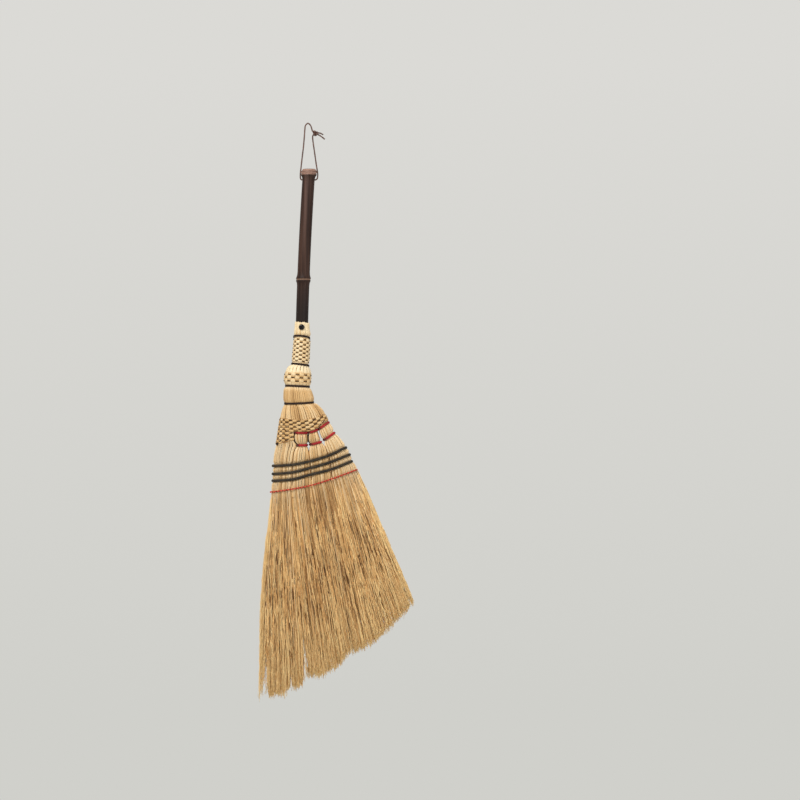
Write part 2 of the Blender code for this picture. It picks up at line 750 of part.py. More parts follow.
def make_bundles(finish):
    recess = WEAVE_THICKNESS + GAP
    seam = fan_row("seam").lowered(SEAM_GAP)
    bottom = fan_row("slice").lowered(-SEAM_GAP)
    for name, (s0, s1, _) in bundles.items():
        sections = [bundle_section(seam, s0, s1, BUNDLE_SIDES, inset=recess)]
        if name.startswith("left"):
            edge_row = left_weave_row()
            drop = edge_row.at(0.0).z - weave_bottom(0.0).z
            covered = edge_row.lowered(drop + GAP)
            sections.append(bundle_section(fan_row("upper_tie"), s0, s1, BUNDLE_SIDES, inset=recess))
            sections.append(bundle_section(covered, s0, s1, BUNDLE_SIDES, inset=recess))
            sections.append(bundle_section(covered.lowered(GAP), s0, s1, BUNDLE_SIDES))
        else:
            upper = fan_row("upper_tie").lowered(-TIE_VALLEY - SEAM_GAP)
            waist = fan_row("lower_tie").mixed(fan_row("waist"), waist_share)
            sections.append(bundle_section(upper, s0, s1, BUNDLE_SIDES, inset=recess))
            sections.append(tie_section("upper", s0, s1, -TIE_VALLEY))
            sections += barrel_sections(s0, s1)
            sections.append(tie_section("lower", s0, s1, TIE_VALLEY))
            sections.append(bundle_section(waist, s0, s1, BUNDLE_SIDES, squeeze=BUNDLE_GAP))
        for row_name in ("navy_1", "navy_2", "navy_3", "red"):
            row = fan_row(row_name)
            sections.append(bundle_section(row, s0, s1, BUNDLE_SIDES, inset=row_sink(row_name)))
        sections.append(bundle_section(bottom, s0, s1, BUNDLE_SIDES))
        loft(f"stalks_{name}", sections, finish)


def make_shoulder_weave(finish):
    top = fan_row("weave_top").lowered(GAP)
    seam = fan_row("seam")
    stops = row_stops(SHOULDER_SIDES)
    upper_tie = fan_row("upper_tie")

    def section(place):
        front = []
        back = []
        for s in stops:
            if place == "top":
                point, depth = top.at(s), top.depth(s)
            elif place == "seam":
                point, depth = seam.at(s), seam.depth(s)
            else:
                point, depth = weave_bottom(s), upper_tie.depth(s)
            front.append(point - Vector((0, depth, 0)))
            back.append(point + Vector((0, depth, 0)))
        return front, back

    outer = [section(place) for place in ("top", "seam", "bottom")]
    inner = [inset_section(part, WEAVE_THICKNESS) for part in reversed(outer)]
    loft("shoulder_weave", outer + inner, finish, tube=True)


def make_ties(finish):
    out = TIE_DIAMETER / 2 + GAP
    for name in ("a", "b", "c"):
        s0, s1, _ = bundles[name]
        for place in ("upper", "lower"):
            ring = offset_ring(ring_of(tie_section(place, s0, s1)), out)
            wind(f"tie_{name}_{place}", lambda drop: ring, OPEN_TURN, TIE_DIAMETER, finish)


def make_links(finish):
    """The dark cord that runs down each tied bundle's left side from tie to tie."""
    out = LINK_DIAMETER / 2 + GAP + LINK_ROOM
    for name in ("a", "b", "c"):
        s0, s1, _ = bundles[name]
        points = [offset_ring(ring_of(section), out)[1] for section in barrel_sections(s0, s1)]
        tube(f"link_cord_{name}", points, LINK_DIAMETER, finish, 1)


def make_bead(finish):
    """The knot that ends the weaving cord at the left edge."""
    upper = fan_row("upper_tie")
    low = weave_bottom(bead_share)
    front = upper.depth(bead_share) + BEAD_RADIUS + GAP
    place = Vector((low.x, -front, low.z - BEAD_RADIUS - GAP))
    bm = bmesh.new()
    bmesh.ops.create_uvsphere(bm, u_segments=8, v_segments=6, radius=BEAD_RADIUS)
    bmesh.ops.translate(bm, vec=place, verts=bm.verts)
    return mesh_from("weave_knot", bm, finish)


def row_sink(row_name):
    """How deep a stitched row draws the straw in."""
    return RED_SINK if row_name == "red" else NAVY_SINK


def make_row_cord(name, row_name, diameter, finish):
    out = diameter / 2 + GAP + ROW_SAG - row_sink(row_name)
    ring = offset_ring(ring_of(fan_row(row_name).outline(ROW_SIDES)), out)
    wind(name, lambda drop: ring, OPEN_TURN, diameter, finish)


def make_bristles(finish):
    """Square strands grown from the cells of each slice's lower face."""
    random.seed(11)
    top_row = fan_row("slice")
    root_row = top_row.lowered(SLICE_DROP)
    tip_row = fan_row("tips")
    deep = BRISTLE_DEPTH_COUNT
    for name, (s0, s1, cols) in bundles.items():
        bm = bmesh.new()
        top = bundle_section(top_row, s0, s1, cols + 1)
        root = bundle_section(root_row, s0, s1, cols + 1)
        tip = bundle_section(tip_row, s0, s1, cols + 1)

        def grid(section):
            front, back = section
            return [[f.lerp(b, j / deep) for j in range(deep + 1)] for f, b in zip(front, back)]

        root_points = grid(root)
        tip_points = grid(tip)
        cells = [[bm.verts.new(p) for p in column] for column in root_points]
        lid_front = [bm.verts.new(p) for p in top[0]]
        lid_back = [bm.verts.new(p) for p in top[1]]
        for i in range(cols):
            bm.faces.new((lid_front[i], lid_front[i + 1], lid_back[i + 1], lid_back[i]))
            bm.faces.new((lid_front[i], lid_front[i + 1], cells[i + 1][0], cells[i][0]))
            bm.faces.new((lid_back[i], lid_back[i + 1], cells[i + 1][deep], cells[i][deep]))
        bm.faces.new([lid_back[0], lid_front[0]] + cells[0])
        bm.faces.new([lid_back[cols], lid_front[cols]] + cells[cols])

        for i in range(cols):
            for j in range(deep):
                corners = ((i, j), (i + 1, j), (i + 1, j + 1), (i, j + 1))
                roots = [root_points[a][b] for a, b in corners]
                tips = [tip_points[a][b] for a, b in corners]
                root_centre = sum(roots, Vector()) / 4
                tip_centre = sum(tips, Vector()) / 4
                along = (tip_centre - root_centre).normalized()
                longer = along * random.uniform(-RAGGED, RAGGED)
                levels = [
                    [root_centre.lerp(p, root_fill_share) for p in roots],
                    [tip_centre.lerp(p, tip_fill_share) + longer for p in tips],
                ]
                if name == "left_1":
                    where_share, bow_share = bend_shares
                    bow = Vector((bow_share * HEAD_WIDTH * (1 - (i + 0.5) / cols) * 4, 0, 0))
                    middle = [a.lerp(b, where_share) + bow for a, b in zip(levels[0], levels[1])]
                    levels.insert(1, middle)
                shells = [[bm.verts.new(p) for p in level] for level in levels]
                around = [cells[a][b] for a, b in corners]
                for ring0, ring1 in zip([around, *shells], shells):
                    for k in range(4):
                        m = (k + 1) % 4
                        bm.faces.new((ring0[k], ring0[m], ring1[m], ring1[k]))
                bm.faces.new(shells[-1])
        mesh_from(f"bristles_{name}", bm, finish, sharp_angle=math.radians(30))


def main():
    clear_scene()
    look = finishes()
    make_loop(look["thong"])
    make_knot(look["thong"])
    handle = make_handle(look["bamboo"])
    neck = make_neck(look["straw"])
    make_peg(look["peg"], (handle, neck))
    make_bands(look["weave"])
    make_bindings(look["black"])
    make_bundles(look["straw"])
    make_shoulder_weave(look["weave"])
    make_ties(look["red"])
    make_links(look["black"])
    make_bead(look["black"])
    for number in (1, 2, 3):
        make_row_cord(f"navy_row_{number}", f"navy_{number}", NAVY_DIAMETER, look["navy"])
    make_row_cord("red_row", "red", RED_DIAMETER, look["red_row"])
    make_bristles(look["bristle"])


main()
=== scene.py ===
import math

import bpy
import bmesh
import numpy as np
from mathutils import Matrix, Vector


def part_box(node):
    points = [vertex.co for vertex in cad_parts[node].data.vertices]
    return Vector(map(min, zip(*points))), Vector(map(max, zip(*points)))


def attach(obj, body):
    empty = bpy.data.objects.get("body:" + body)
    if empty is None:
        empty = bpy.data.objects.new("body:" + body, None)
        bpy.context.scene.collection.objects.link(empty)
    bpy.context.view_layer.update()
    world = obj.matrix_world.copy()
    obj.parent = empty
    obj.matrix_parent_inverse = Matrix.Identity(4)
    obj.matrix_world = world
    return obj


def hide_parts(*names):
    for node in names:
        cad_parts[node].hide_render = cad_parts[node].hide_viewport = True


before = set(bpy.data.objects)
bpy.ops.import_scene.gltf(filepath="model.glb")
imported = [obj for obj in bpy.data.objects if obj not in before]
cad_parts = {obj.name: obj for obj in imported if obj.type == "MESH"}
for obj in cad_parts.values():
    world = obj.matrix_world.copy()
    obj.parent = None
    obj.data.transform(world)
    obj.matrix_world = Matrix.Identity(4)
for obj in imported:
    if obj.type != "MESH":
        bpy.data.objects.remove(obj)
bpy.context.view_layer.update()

# A hand-tied straw broom on a bamboo handle, hanging by its leather loop. Metres, Z up, front to -Y.
# The straw is swept along the same rows that shape the solids: s runs 0 to 4 from the left
# edge to the right, and d runs down the head from the collar's edge along its middle.

print("stage: camera and light")

view = {"pixel": 0.0015, "middle": (400, 400), "hook": (308, 124), "distance": 5.0, "sensor": 36}


def linear(level):
    part = level / 255
    return part / 12.92 if part <= 0.04045 else ((part + 0.055) / 1.055) ** 2.4


def colour(red, green, blue):
    return (linear(red), linear(green), linear(blue), 1)


def makeCamera():
    across = (view["middle"][0] - view["hook"][0]) * view["pixel"]
    down = (view["middle"][1] - view["hook"][1]) * view["pixel"]
    width = 2 * view["middle"][0] * view["pixel"]
    data = bpy.data.cameras.new("camera")
    data.sensor_width = view["sensor"]
    data.lens = view["sensor"] * view["distance"] / width
    data.clip_end = 50
    made = bpy.data.objects.new("camera", data)
    made.location = (across, -view["distance"], -down)
    made.rotation_euler = (math.pi / 2, 0, 0)
    bpy.context.collection.objects.link(made)
    bpy.context.scene.camera = made


makeCamera()


# Materials. A Flow is one socket, and its operators add Math nodes.
class Flow:
    def __init__(self, look, socket):
        self.look = look
        self.socket = socket

    def maths(self, operation, first, second=0.0):
        return self.look.node("ShaderNodeMath", {"operation": operation}, {0: first, 1: second})

    def __add__(self, other):
        return self.maths("ADD", self, other)

    def __radd__(self, other):
        return self.maths("ADD", other, self)

    def __sub__(self, other):
        return self.maths("SUBTRACT", self, other)

    def __rsub__(self, other):
        return self.maths("SUBTRACT", other, self)

    def __mul__(self, other):
        return self.maths("MULTIPLY", self, other)

    def __rmul__(self, other):
        return self.maths("MULTIPLY", other, self)

    def smooth(self, low, high, blend="SMOOTHSTEP"):
        sockets = {"Value": self, "From Min": low, "From Max": high}
        return self.look.node("ShaderNodeMapRange", {"interpolation_type": blend}, sockets)

    def near(self, middle, wide, narrow):
        # 1 within the narrow distance of the middle, and 0 beyond the wide one.
        return self.maths("ABSOLUTE", self - middle).smooth(wide, narrow)


class Look:
    def __init__(self, name, kind="materials", last="Principled BSDF"):
        self.owner = getattr(bpy.data, kind).new(name)
        self.owner.use_nodes = True
        self.tree = self.owner.node_tree
        self.last = self.tree.nodes[last]

    def feed(self, node, sockets):
        for key, value in sockets.items():
            if isinstance(value, Flow):
                self.tree.links.new(value.socket, node.inputs[key])
            else:
                node.inputs[key].default_value = value

    def node(self, kind, settings=None, sockets=None, output=0):
        made = self.tree.nodes.new(kind)
        for key, value in (settings or {}).items():
            if key == "stops":
                ramp = made.color_ramp.elements
                while len(ramp) < len(value):
                    ramp.new(1.0)
                for stop, (place, shade) in zip(ramp, value):
                    stop.position = place
                    stop.color = shade
            else:
                setattr(made, key, value)
        self.feed(made, sockets or {})
        return Flow(self, made.outputs[output])

    def place(self):
        return self.node("ShaderNodeTexCoord", output="Object")

    def parted(self, vector, axis):
        return self.node("ShaderNodeSeparateXYZ", None, {0: vector}, axis)

    def noise(self, vector, scale, detail, roughness=0.5):
        sockets = {"Vector": vector, "Scale": scale, "Detail": detail, "Roughness": roughness}
        return self.node("ShaderNodeTexNoise", None, sockets)

    def strands(self, place, across, along, detail=2.0, roughness=0.5):
        # Noise that is drawn out along Z, as fibres lie.
        drawnOut = self.node("ShaderNodeMapping", None, {"Vector": place, "Scale": (across, across, along)})
        return self.noise(drawnOut, 1.0, detail, roughness)

    def attribute(self, name):
        return self.node("ShaderNodeAttribute", {"attribute_name": name}, None, "Fac")

    def mixed(self, share, first, second):
        first, second = (shade if isinstance(shade, Flow) else colour(*shade) for shade in (first, second))
        return self.node("ShaderNodeMix", {"data_type": "RGBA"}, {0: share, 6: first, 7: second}, 2)

    def ramp(self, share, *stops):
        stops = [(place, colour(*shade)) for place, shade in stops]
        return self.node("ShaderNodeValToRGB", {"stops": stops}, {0: share})

    def bump(self, height, strength, distance):
        sockets = {"Height": height, "Strength": strength, "Distance": distance}
        return self.node("ShaderNodeBump", None, sockets)

    def finish(self, **sockets):
        self.feed(self.last, {key.replace("_", " "): value for key, value in sockets.items()})
        return self.owner


straw = {
    "toneShare": 0.62, "patchShare": 0.26, "fleckShare": 0.22, "stops": (0.16, 0.42, 0.78),
    "fleckAcross": 900, "patch": (40, 14), "grain": (2600, 90), "grainDepth": 0.0004,
}


def strawLook(name, pale, golden, brown, dullness, crinkle=60, flecked=straw["fleckShare"]):
    # Every stalk carries a tone, which flecks and patches vary from brown to pale.
    look = Look(name)
    place = look.place()
    fleck = look.strands(place, straw["fleckAcross"], crinkle)
    patch = look.strands(place, *straw["patch"])
    grain = look.strands(place, *straw["grain"])
    share = look.attribute("tone") * straw["toneShare"] + fleck * flecked + patch * straw["patchShare"]
    share = share + (straw["fleckShare"] - flecked) * 0.5
    return look.finish(
        Base_Color=look.ramp(share, *zip(straw["stops"], (brown, golden, pale))),
        Roughness=dullness + (grain - 0.5) * 0.2,
        Normal=look.bump(grain, 0.25, straw["grainDepth"]),
    )


def cordLook(name, dark, light, dullness, darkTone=None):
    look = Look(name)
    place = look.place()
    fibre = look.noise(place, 2600.0, 3.0, 0.6)
    patch = look.noise(place, 160.0, 2.0)
    shade = look.mixed((fibre * 0.6 + patch * 0.5).smooth(0.35, 0.75), dark, light)
    # A piece that carries a tone is mixed there towards a darker colour: the ties at their left ends, and the
    # painted shadow ticks of the stitching.
    if darkTone:
        shade = look.mixed(look.attribute("tone"), shade, darkTone)
    return look.finish(
        Base_Color=shade,
        Roughness=dullness + (patch - 0.5) * 0.2,
        Normal=look.bump(fibre, 0.5, 0.0003),
    )


def leatherLook():
    look = Look("waxed thong leather")
    place = look.place()
    grain = look.noise(place, 1500.0, 4.0, 0.65)
    rub = look.noise(place, 95.0, 3.0)
    shade = look.mixed(rub.smooth(0.3, 0.72), (80, 55, 46), (114, 85, 73))
    shade = look.mixed(grain.smooth(0.62, 0.8) * 0.35, shade, (134, 107, 95))
    return look.finish(
        Base_Color=shade,
        Roughness=0.5 + (grain - 0.5) * 0.4,
        Normal=look.bump(grain, 0.45, 0.0003),
    )


def pegLook():
    look = Look("black lacquer")
    speck = look.noise(look.place(), 900.0, 2.0)
    return look.finish(
        Base_Color=look.mixed(speck, (10, 7, 3), (22, 16, 8)),
        Roughness=0.2 + speck * 0.08,
        Normal=look.bump(speck, 0.06, 0.0002),
        Coat_Weight=0.12,
        Specular_IOR_Level=0.22,
    )


looks = {
    "stalk": strawLook("peeled stalks", (250, 222, 176), (226, 186, 128), (160, 112, 58), 0.5, flecked=0.14),
    "cushion": strawLook("woven stalks", (250, 228, 186), (218, 176, 114), (146, 100, 48), 0.5),
    "bristle": strawLook("straw fibres", (255, 220, 156), (225, 172, 105), (100, 60, 24), 0.62, 260, 0.50),
    # the inner straw's dark colour is painted shade, for the gaps between the stalks
    "core": strawLook("inner straw", (150, 104, 54), (120, 80, 38), (84, 54, 26), 0.8),
    "thread": cordLook("weaving thread", (44, 27, 10), (88, 60, 28), 0.7),
    "black": cordLook("black waxed cord", (26, 11, 4), (52, 28, 15), 0.75),
    "navy": cordLook("blue-black cord", (14, 11, 8), (74, 65, 52), 0.85),
    "red": cordLook("deep red cord", (142, 11, 22), (198, 34, 42), 0.6, darkTone=(70, 16, 10)),
    "stitch": cordLook("red stitching", (208, 50, 34), (240, 104, 78), 0.6, darkTone=(120, 26, 16)),
    "leather": leatherLook(),
    "peg": pegLook(),
}


studio = {
    "paperTop": (219, 218, 214), "paperLow": (208, 208, 203), "paperSpan": (0.10, -0.09),
    "ambient": (1.0, 0.98, 0.96, 1), "ambientStrength": 0.5, "aim": (0, 0, -0.42),
    "floorPlace": (0.06, 0, -1.2), "floorRadius": 1.25, "floorShade": colour(222, 223, 217),
    # name, place, size, power and tint of each lamp
    "lamps": [
        ("key", (-0.9, -1.7, 1.7), 1.2, 54, (1.0, 0.98, 0.94)),
        ("fill", (1.9, -2.3, 0.0), 1.6, 17, (0.97, 0.98, 1.0)),
        ("rim", (0.8, 2.4, 1.2), 1.4, 22, (1, 1, 1)),
    ],
}


def makeLamp(name, place, size, power, tint):
    data = bpy.data.lights.new(name, "AREA")
    data.size = size
    data.energy = power
    data.color = tint
    lamp = bpy.data.objects.new(name, data)
    lamp.location = place
    aim = Vector(studio["aim"]) - Vector(place)
    lamp.rotation_euler = aim.to_track_quat("-Z", "Y").to_euler()
    bpy.context.collection.objects.link(lamp)


def makeWorld():
    # The camera sees plain paper with painted shade, a little darker lower down, and the other rays see soft
    # light.
    look = Look("studio", "worlds", "World Output")
    ray = look.node("ShaderNodeLightPath", output="Is Camera Ray")
    through = look.node("ShaderNodeLightPath", output="Is Transmission Ray")
    height = look.parted(look.node("ShaderNodeTexCoord", output="Generated"), "Z")
    shade = look.mixed(height.smooth(*studio["paperSpan"], "LINEAR"), studio["paperTop"], studio["paperLow"])
    ambient = {"Color": studio["ambient"], "Strength": studio["ambientStrength"]}
    light = look.node("ShaderNodeBackground", None, ambient)
    paper = look.node("ShaderNodeBackground", None, {"Color": shade})
    seen = ray.maths("MAXIMUM", ray, through)
    surface = look.node("ShaderNodeMixShader", None, {0: seen, 1: light, 2: paper})
    bpy.context.scene.world = look.finish(Surface=surface)


def makeStudio():
    makeWorld()
    bpy.ops.mesh.primitive_circle_add(
        vertices=96, radius=studio["floorRadius"], fill_type="NGON", location=studio["floorPlace"]
    )
    floor = bpy.context.object
    floor.name = "floor"
    floor.data.materials.append(Look("pale floor").finish(Base_Color=studio["floorShade"], Roughness=0.9))
    for lamp in studio["lamps"]:
        makeLamp(*lamp)
    bpy.context.scene.view_settings.view_transform = "Standard"


makeStudio()


# Pieces and the lines that they are swept along.
def dress(piece, look, replaced=(), body="broom"):
    piece.data.materials.clear()
    piece.data.materials.append(looks[look])
    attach(piece, body)
    if replaced:
        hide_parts(*replaced)
    return piece


def addPiece(name, mesh, look, replaced=(), body="broom"):
    mesh.name = name
    piece = bpy.data.objects.new(name, mesh)
    bpy.context.collection.objects.link(piece)
    return dress(piece, look, replaced, body)


def unit(vectors):
    return vectors / np.maximum(np.linalg.norm(vectors, axis=-1, keepdims=True), 1e-12)


def headings(lines, closed):
    # Which way each line runs at its stations.
    if closed:
        return unit(np.roll(lines, -1, -2) - np.roll(lines, 1, -2))
    return unit(np.gradient(lines, axis=-2))


def framesOf(lines, outward, closed):
    ahead = headings(lines, closed)
    sideways = unit(np.cross(outward, ahead))
    return sideways, unit(np.cross(ahead, sideways))


def outwardOf(rings):
    # Level, and square to each ring.
    return unit(np.cross(headings(rings, True), (0, 0, 1.0)))


def reachAlong(line):
    # How far along a line each of its points is.
    return np.concatenate([[0], np.cumsum(np.linalg.norm(np.diff(line, axis=0), axis=1))])


def readAt(at, places, values):
    return np.stack([np.interp(at, places, column) for column in values.T], 1)


def spaced(line, step, closed=False):
    # Points at an even step along a line. A closed one leaves out its last point.
    reach = reachAlong(line)
    goals = np.linspace(0, reach[-1], round(reach[-1] / step) + 1)
    return readAt(goals[:-1] if closed else goals, reach, line)


def curved(p0, p1, p2, p3, t):
    # The Catmull-Rom curve from p1 to p2.
    curve = 2 * p1 + (p2 - p0) * t + (2 * p0 - 5 * p1 + 4 * p2 - p3) * t ** 2
    return 0.5 * (curve + (3 * p1 - p0 - 3 * p2 + p3) * t ** 3)


def smoothRoute(points, step):
    # Points at an even step along a smooth curve through the route's own points.
    points = np.array(points, float)
    padded = np.vstack([2 * points[0] - points[1], points, 2 * points[-1] - points[-2]])
    shares = np.linspace(0, 1, 24, endpoint=False)
    fine = [curved(*padded[k:k + 4], t) for k in range(len(points) - 1) for t in shares]
    return spaced(np.array([*fine, points[-1]]), step)


def circleProfile(sides):
    angle = 2 * math.pi * (np.arange(sides) + 0.5) / sides
    return np.stack([np.cos(angle), np.sin(angle)], 1) / 2


def sweptMesh(centres, outward, widths, depths, profile, closed=False, tones=None):
    # Sweeps a profile along many lines at once: centres is lines x stations x 3.
    count, stations = centres.shape[:2]
    sides = len(profile)
    sideways, outward = framesOf(centres, outward, closed)
    widths = np.broadcast_to(widths, (count, stations))[:, :, None, None]
    depths = np.broadcast_to(depths, (count, stations))[:, :, None, None]
    rings = centres[:, :, None, :] + sideways[:, :, None, :] * widths * profile[:, 0, None]
    rings = rings + outward[:, :, None, :] * depths * profile[:, 1, None]
    index = np.arange(count * stations * sides).reshape(count, stations, sides)
    near = index if closed else index[:, :-1]
    far = np.roll(index, -1, 1) if closed else index[:, 1:]
    faces = np.stack([near, np.roll(near, -1, 2), np.roll(far, -1, 2), far], -1).reshape(-1, 4).tolist()
    if not closed:
        faces += index[:, 0, ::-1].tolist() + index[:, -1].tolist()
    mesh = bpy.data.meshes.new("swept")
    mesh.from_pydata(rings.reshape(-1, 3).tolist(), [], faces)
    if tones is not None:
        spread = np.broadcast_to(np.asarray(tones, float).reshape(count, -1), (count, stations))
        values = np.repeat(spread.reshape(-1), sides).astype(np.float32)
        mesh.attributes.new("tone", "FLOAT", "POINT").data.foreach_set("value", values)
    mesh.shade_smooth()
    if not closed and sides > 4:
        mesh.set_sharp_from_angle(angle=math.radians(60))
    return mesh


def joinMeshes(meshes):
    # One mesh from several, which keeps their tone.
    whole = bmesh.new()
    for mesh in meshes:
        whole.from_mesh(mesh)
        bpy.data.meshes.remove(mesh)
    made = bpy.data.meshes.new("joined")
    whole.to_mesh(made)
    whole.free()
    return made


def trefoil(size):
    # The simplest knot, centred on zero.
    turn = np.linspace(0, 2 * math.pi, 90, endpoint=False)
    wide, deep, high = size
    return np.stack([
        (np.sin(turn) + 2 * np.sin(2 * turn)) / 6 * wide,
        -np.sin(3 * turn) / 2 * deep,
        (np.cos(turn) - 2 * np.cos(2 * turn)) / 6 * high,
    ], 1)


def knotMesh(line, thick, sides):
    return sweptMesh(line[None], (0, -1.0, 0.2), thick, thick, circleProfile(sides), closed=True)


print("stage: leather loop")

loop = {
    "diameter": 0.002,
    "sides": 12,
    "step": 0.0006,
    "left": [
        (0.00057, -0.0840), (-0.0040, -0.0840), (-0.0080, -0.0840), (-0.0103, -0.0832),
        (-0.0114, -0.0808), (-0.0115, -0.0755), (-0.0111, -0.0710), (-0.0103, -0.0640),
        (-0.0093, -0.0550), (-0.0081, -0.0450), (-0.0069, -0.0350), (-0.0059, -0.0240),
        (-0.0052, -0.0150), (-0.0047, -0.0080), (-0.0038, -0.0024), (-0.0002, 0.0010),
        (0.0036, -0.0018), (0.0053, -0.0060), (0.0066, -0.0103), (0.0085, -0.0126),
    ],
    "right": [
        (0.00087, -0.0840), (0.0050, -0.0840), (0.0097, -0.0840), (0.0125, -0.0833),
        (0.0142, -0.0808), (0.0146, -0.0755), (0.0138, -0.0690), (0.0123, -0.0600),
        (0.0106, -0.0480), (0.0090, -0.0370), (0.0076, -0.0270), (0.0070, -0.0212),
        (0.0073, -0.0175), (0.0090, -0.0150),
    ],
    "shortTail": [
        (0.0138, -0.0130), (0.0158, -0.0134), (0.0180, -0.0138), (0.0205, -0.0148), (0.0229, -0.0163),
    ],
    "longTail": [
        (0.0132, -0.0152), (0.0152, -0.0160), (0.0176, -0.0172), (0.0203, -0.0190), (0.0229, -0.0210),
        (0.0251, -0.0229),
    ],
    "nodes": {
        "left": "loop_leg_left", "right": "loop_leg_right", "shortTail": "loop_tail_short",
        "longTail": "loop_tail_long",
    },
    "tailApart": {"shortTail": -0.0011, "longTail": 0.0011},
    "wobble": [(0.045, 0.31, 1), (0.03, 0.83, 0)],
    "wide": 1.06,
    "deep": 0.94,
    "endShare": 0.7,
    "knotMiddle": (0.0112, 0.0, -0.0138),
    "knotSize": (0.0078, 0.0052, 0.0066),
    "knotLean": -16,
    "knotCord": 0.0025,
    "leftExit": (-0.0092, 0, -0.0840),
    "rightExit": (0.0108, 0, -0.0840),
}


def thongMesh(line):
    # A cut leather lace: not quite round, and never the same thickness twice.
    along = np.arange(len(line))
    wobble = sum(size * np.sin(along * pace + start) for size, pace, start in loop["wobble"])
    widths = loop["diameter"] * (1 + wobble) * loop["wide"]
    depths = loop["diameter"] * (1 - wobble) * loop["deep"]
    depths[[0, -1]] *= loop["endShare"]
    return sweptMesh(line[None], (0, -1.0, 0), widths[None], depths[None], circleProfile(loop["sides"]))


def makeLoop():
    for key, node in loop["nodes"].items():
        line = smoothRoute([(x, 0, z) for x, z in loop[key]], loop["step"])
        if key in loop["tailApart"]:
            line[:, 1] += loop["tailApart"][key] * np.linspace(1, 0.2, len(line))
        addPiece("thong_" + key, thongMesh(line), "leather", [node], "loop")
    x, y, z = trefoil(loop["knotSize"]).T
    lean = math.radians(loop["knotLean"])
    knot = [x * math.cos(lean) - z * math.sin(lean), y, x * math.sin(lean) + z * math.cos(lean)]
    mesh = knotMesh(np.stack(knot, 1) + loop["knotMiddle"], loop["knotCord"], loop["sides"])
    addPiece("thong_knot", mesh, "leather", ["loop_knot"], "loop")


makeLoop()

print("stage: bamboo handle")

culm = {
    "topZ": -0.0675, "visible": 0.2303, "hidden": 0.093, "topX": 0.0018, "drift": 0.0108, "bow": 0.00116,
    "radius": 0.0093, "sides": 56, "holeZ": -0.084, "holeRadius": 0.0018, "holeSides": 20, "drill": 0.04,
    "nodeDrops": (0.0060, 0.1650), "nodeSwells": (0.0029, 0.0018), "nodeHalf": 0.0105,
    "nodeShape": [
        (-1.0, 0.0), (-0.55, 0.22), (-0.34, 0.55), (-0.16, 0.92), (-0.02, 1.0), (0.05, 0.78), (0.12, 0.62),
        (0.2, 0.86), (0.31, 0.9), (0.42, 0.6), (0.6, 0.2), (1.0, 0.0),
    ],
    # rings between the nodes: the first, their step, and the least drop below the top
    "ringStart": 0.02, "ringStep": 0.011, "leastDrop": 0.0012,
    # the cut top, as drops below the end and how far outside the edge each ring is
    "rim": [
        (0.0010, 0.0001), (0.0004, -0.0003), (0, -0.0011), (0, -0.0036), (0.0006, -0.0041), (0.0022, -0.0048),
        (0.0027, -0.0068),
    ],
    # the painted highlight down the front: its lean with height, and its place across
    "highlightLean": 0.0469, "highlightX": 0.0024,
}


def bambooLook():
    # Stained bamboo that is darker low down and bare at its nodes, with a painted highlight down its front.
    look = Look("stained bamboo")
    place = look.place()
    height = look.parted(place, "Z")
    fibre = look.strands(place, 1100, 10, 4.0, 0.6)
    streak = look.strands(place, 260, 5, 3.0)
    cloud = look.strands(place, 50, 16, 3.0)
    bare = look.noise(place, 420.0, 3.0)
    # A painted highlight: a broad light band down the front of the culm, fading out lower down.
    across = look.parted(place, "X") - height * culm["highlightLean"]
    paintedHighlight = across.near(culm["highlightX"], 0.0042, 0.0010) * height.smooth(-0.235, -0.10)
    top = culm["topZ"]
    upper, lower = (top - drop for drop in culm["nodeDrops"])
    stain = look.mixed(streak.smooth(0.3, 0.72), (40, 25, 19), (75, 52, 42))
    for share, shade in (
        (cloud.smooth(0.55, 0.8) * 0.35, (98, 72, 60)),
        (paintedHighlight * (0.2 + streak * 0.5), (112, 88, 80)),
        (height.smooth(-0.215, -0.29) * 0.82, (32, 26, 23)),  # lower end
        (fibre.smooth(0.6, 0.85) * 0.4, (40, 26, 21)),
        (height.near(upper + 0.0018, 0.0052, 0.0030) * (0.45 + bare * 0.8), (172, 136, 120)),
        (height.near(upper + 0.0022, 0.0010, 0.0003) * 0.9, (72, 44, 34)),  # groove
        (height.near(lower - 0.0006, 0.0011, 0.0004) * (0.5 + bare * 0.6), (160, 126, 104)),
        (height.smooth(top - 0.0007, top - 0.0001) * 0.8, (96, 68, 56)),  # cut
    ):
        stain = look.mixed(share, stain, shade)
    return look.finish(
        Base_Color=stain,
        Roughness=0.44 + fibre * 0.16,
        Normal=look.bump(fibre * 0.7 + streak * 0.3, 0.3, 0.0004),
        Specular_IOR_Level=0.2,
    )


def culmX(z):
    # The culm leans and bows to the left on its way down, and runs on straight inside the head.
    down = culm["topZ"] - z
    share = down / culm["visible"]
    if share > 1:
        slope = (culm["drift"] - 4 * culm["bow"]) / culm["visible"]
        return culm["topX"] - culm["drift"] - slope * (down - culm["visible"])
    return culm["topX"] - culm["drift"] * share - 4 * culm["bow"] * share * (1 - share)


def culmRadius(down):
    radius = culm["radius"]
    for middle, swell in zip(culm["nodeDrops"], culm["nodeSwells"]):
        places, highs = zip(*culm["nodeShape"])
        radius += swell * np.interp((down - middle) / culm["nodeHalf"], places, highs, 0, 0)
    return float(radius)


def extrudeRing(oldZ, oldRadius, newZ, newRadius):
    shift = (culmX(newZ) - culmX(oldZ), 0, newZ - oldZ)
    bpy.ops.mesh.extrude_region_move(TRANSFORM_OT_translate={"value": shift})
    scale = newRadius / oldRadius
    bpy.ops.transform.resize(value=(scale, scale, 1), center_override=(culmX(newZ), 0, newZ))


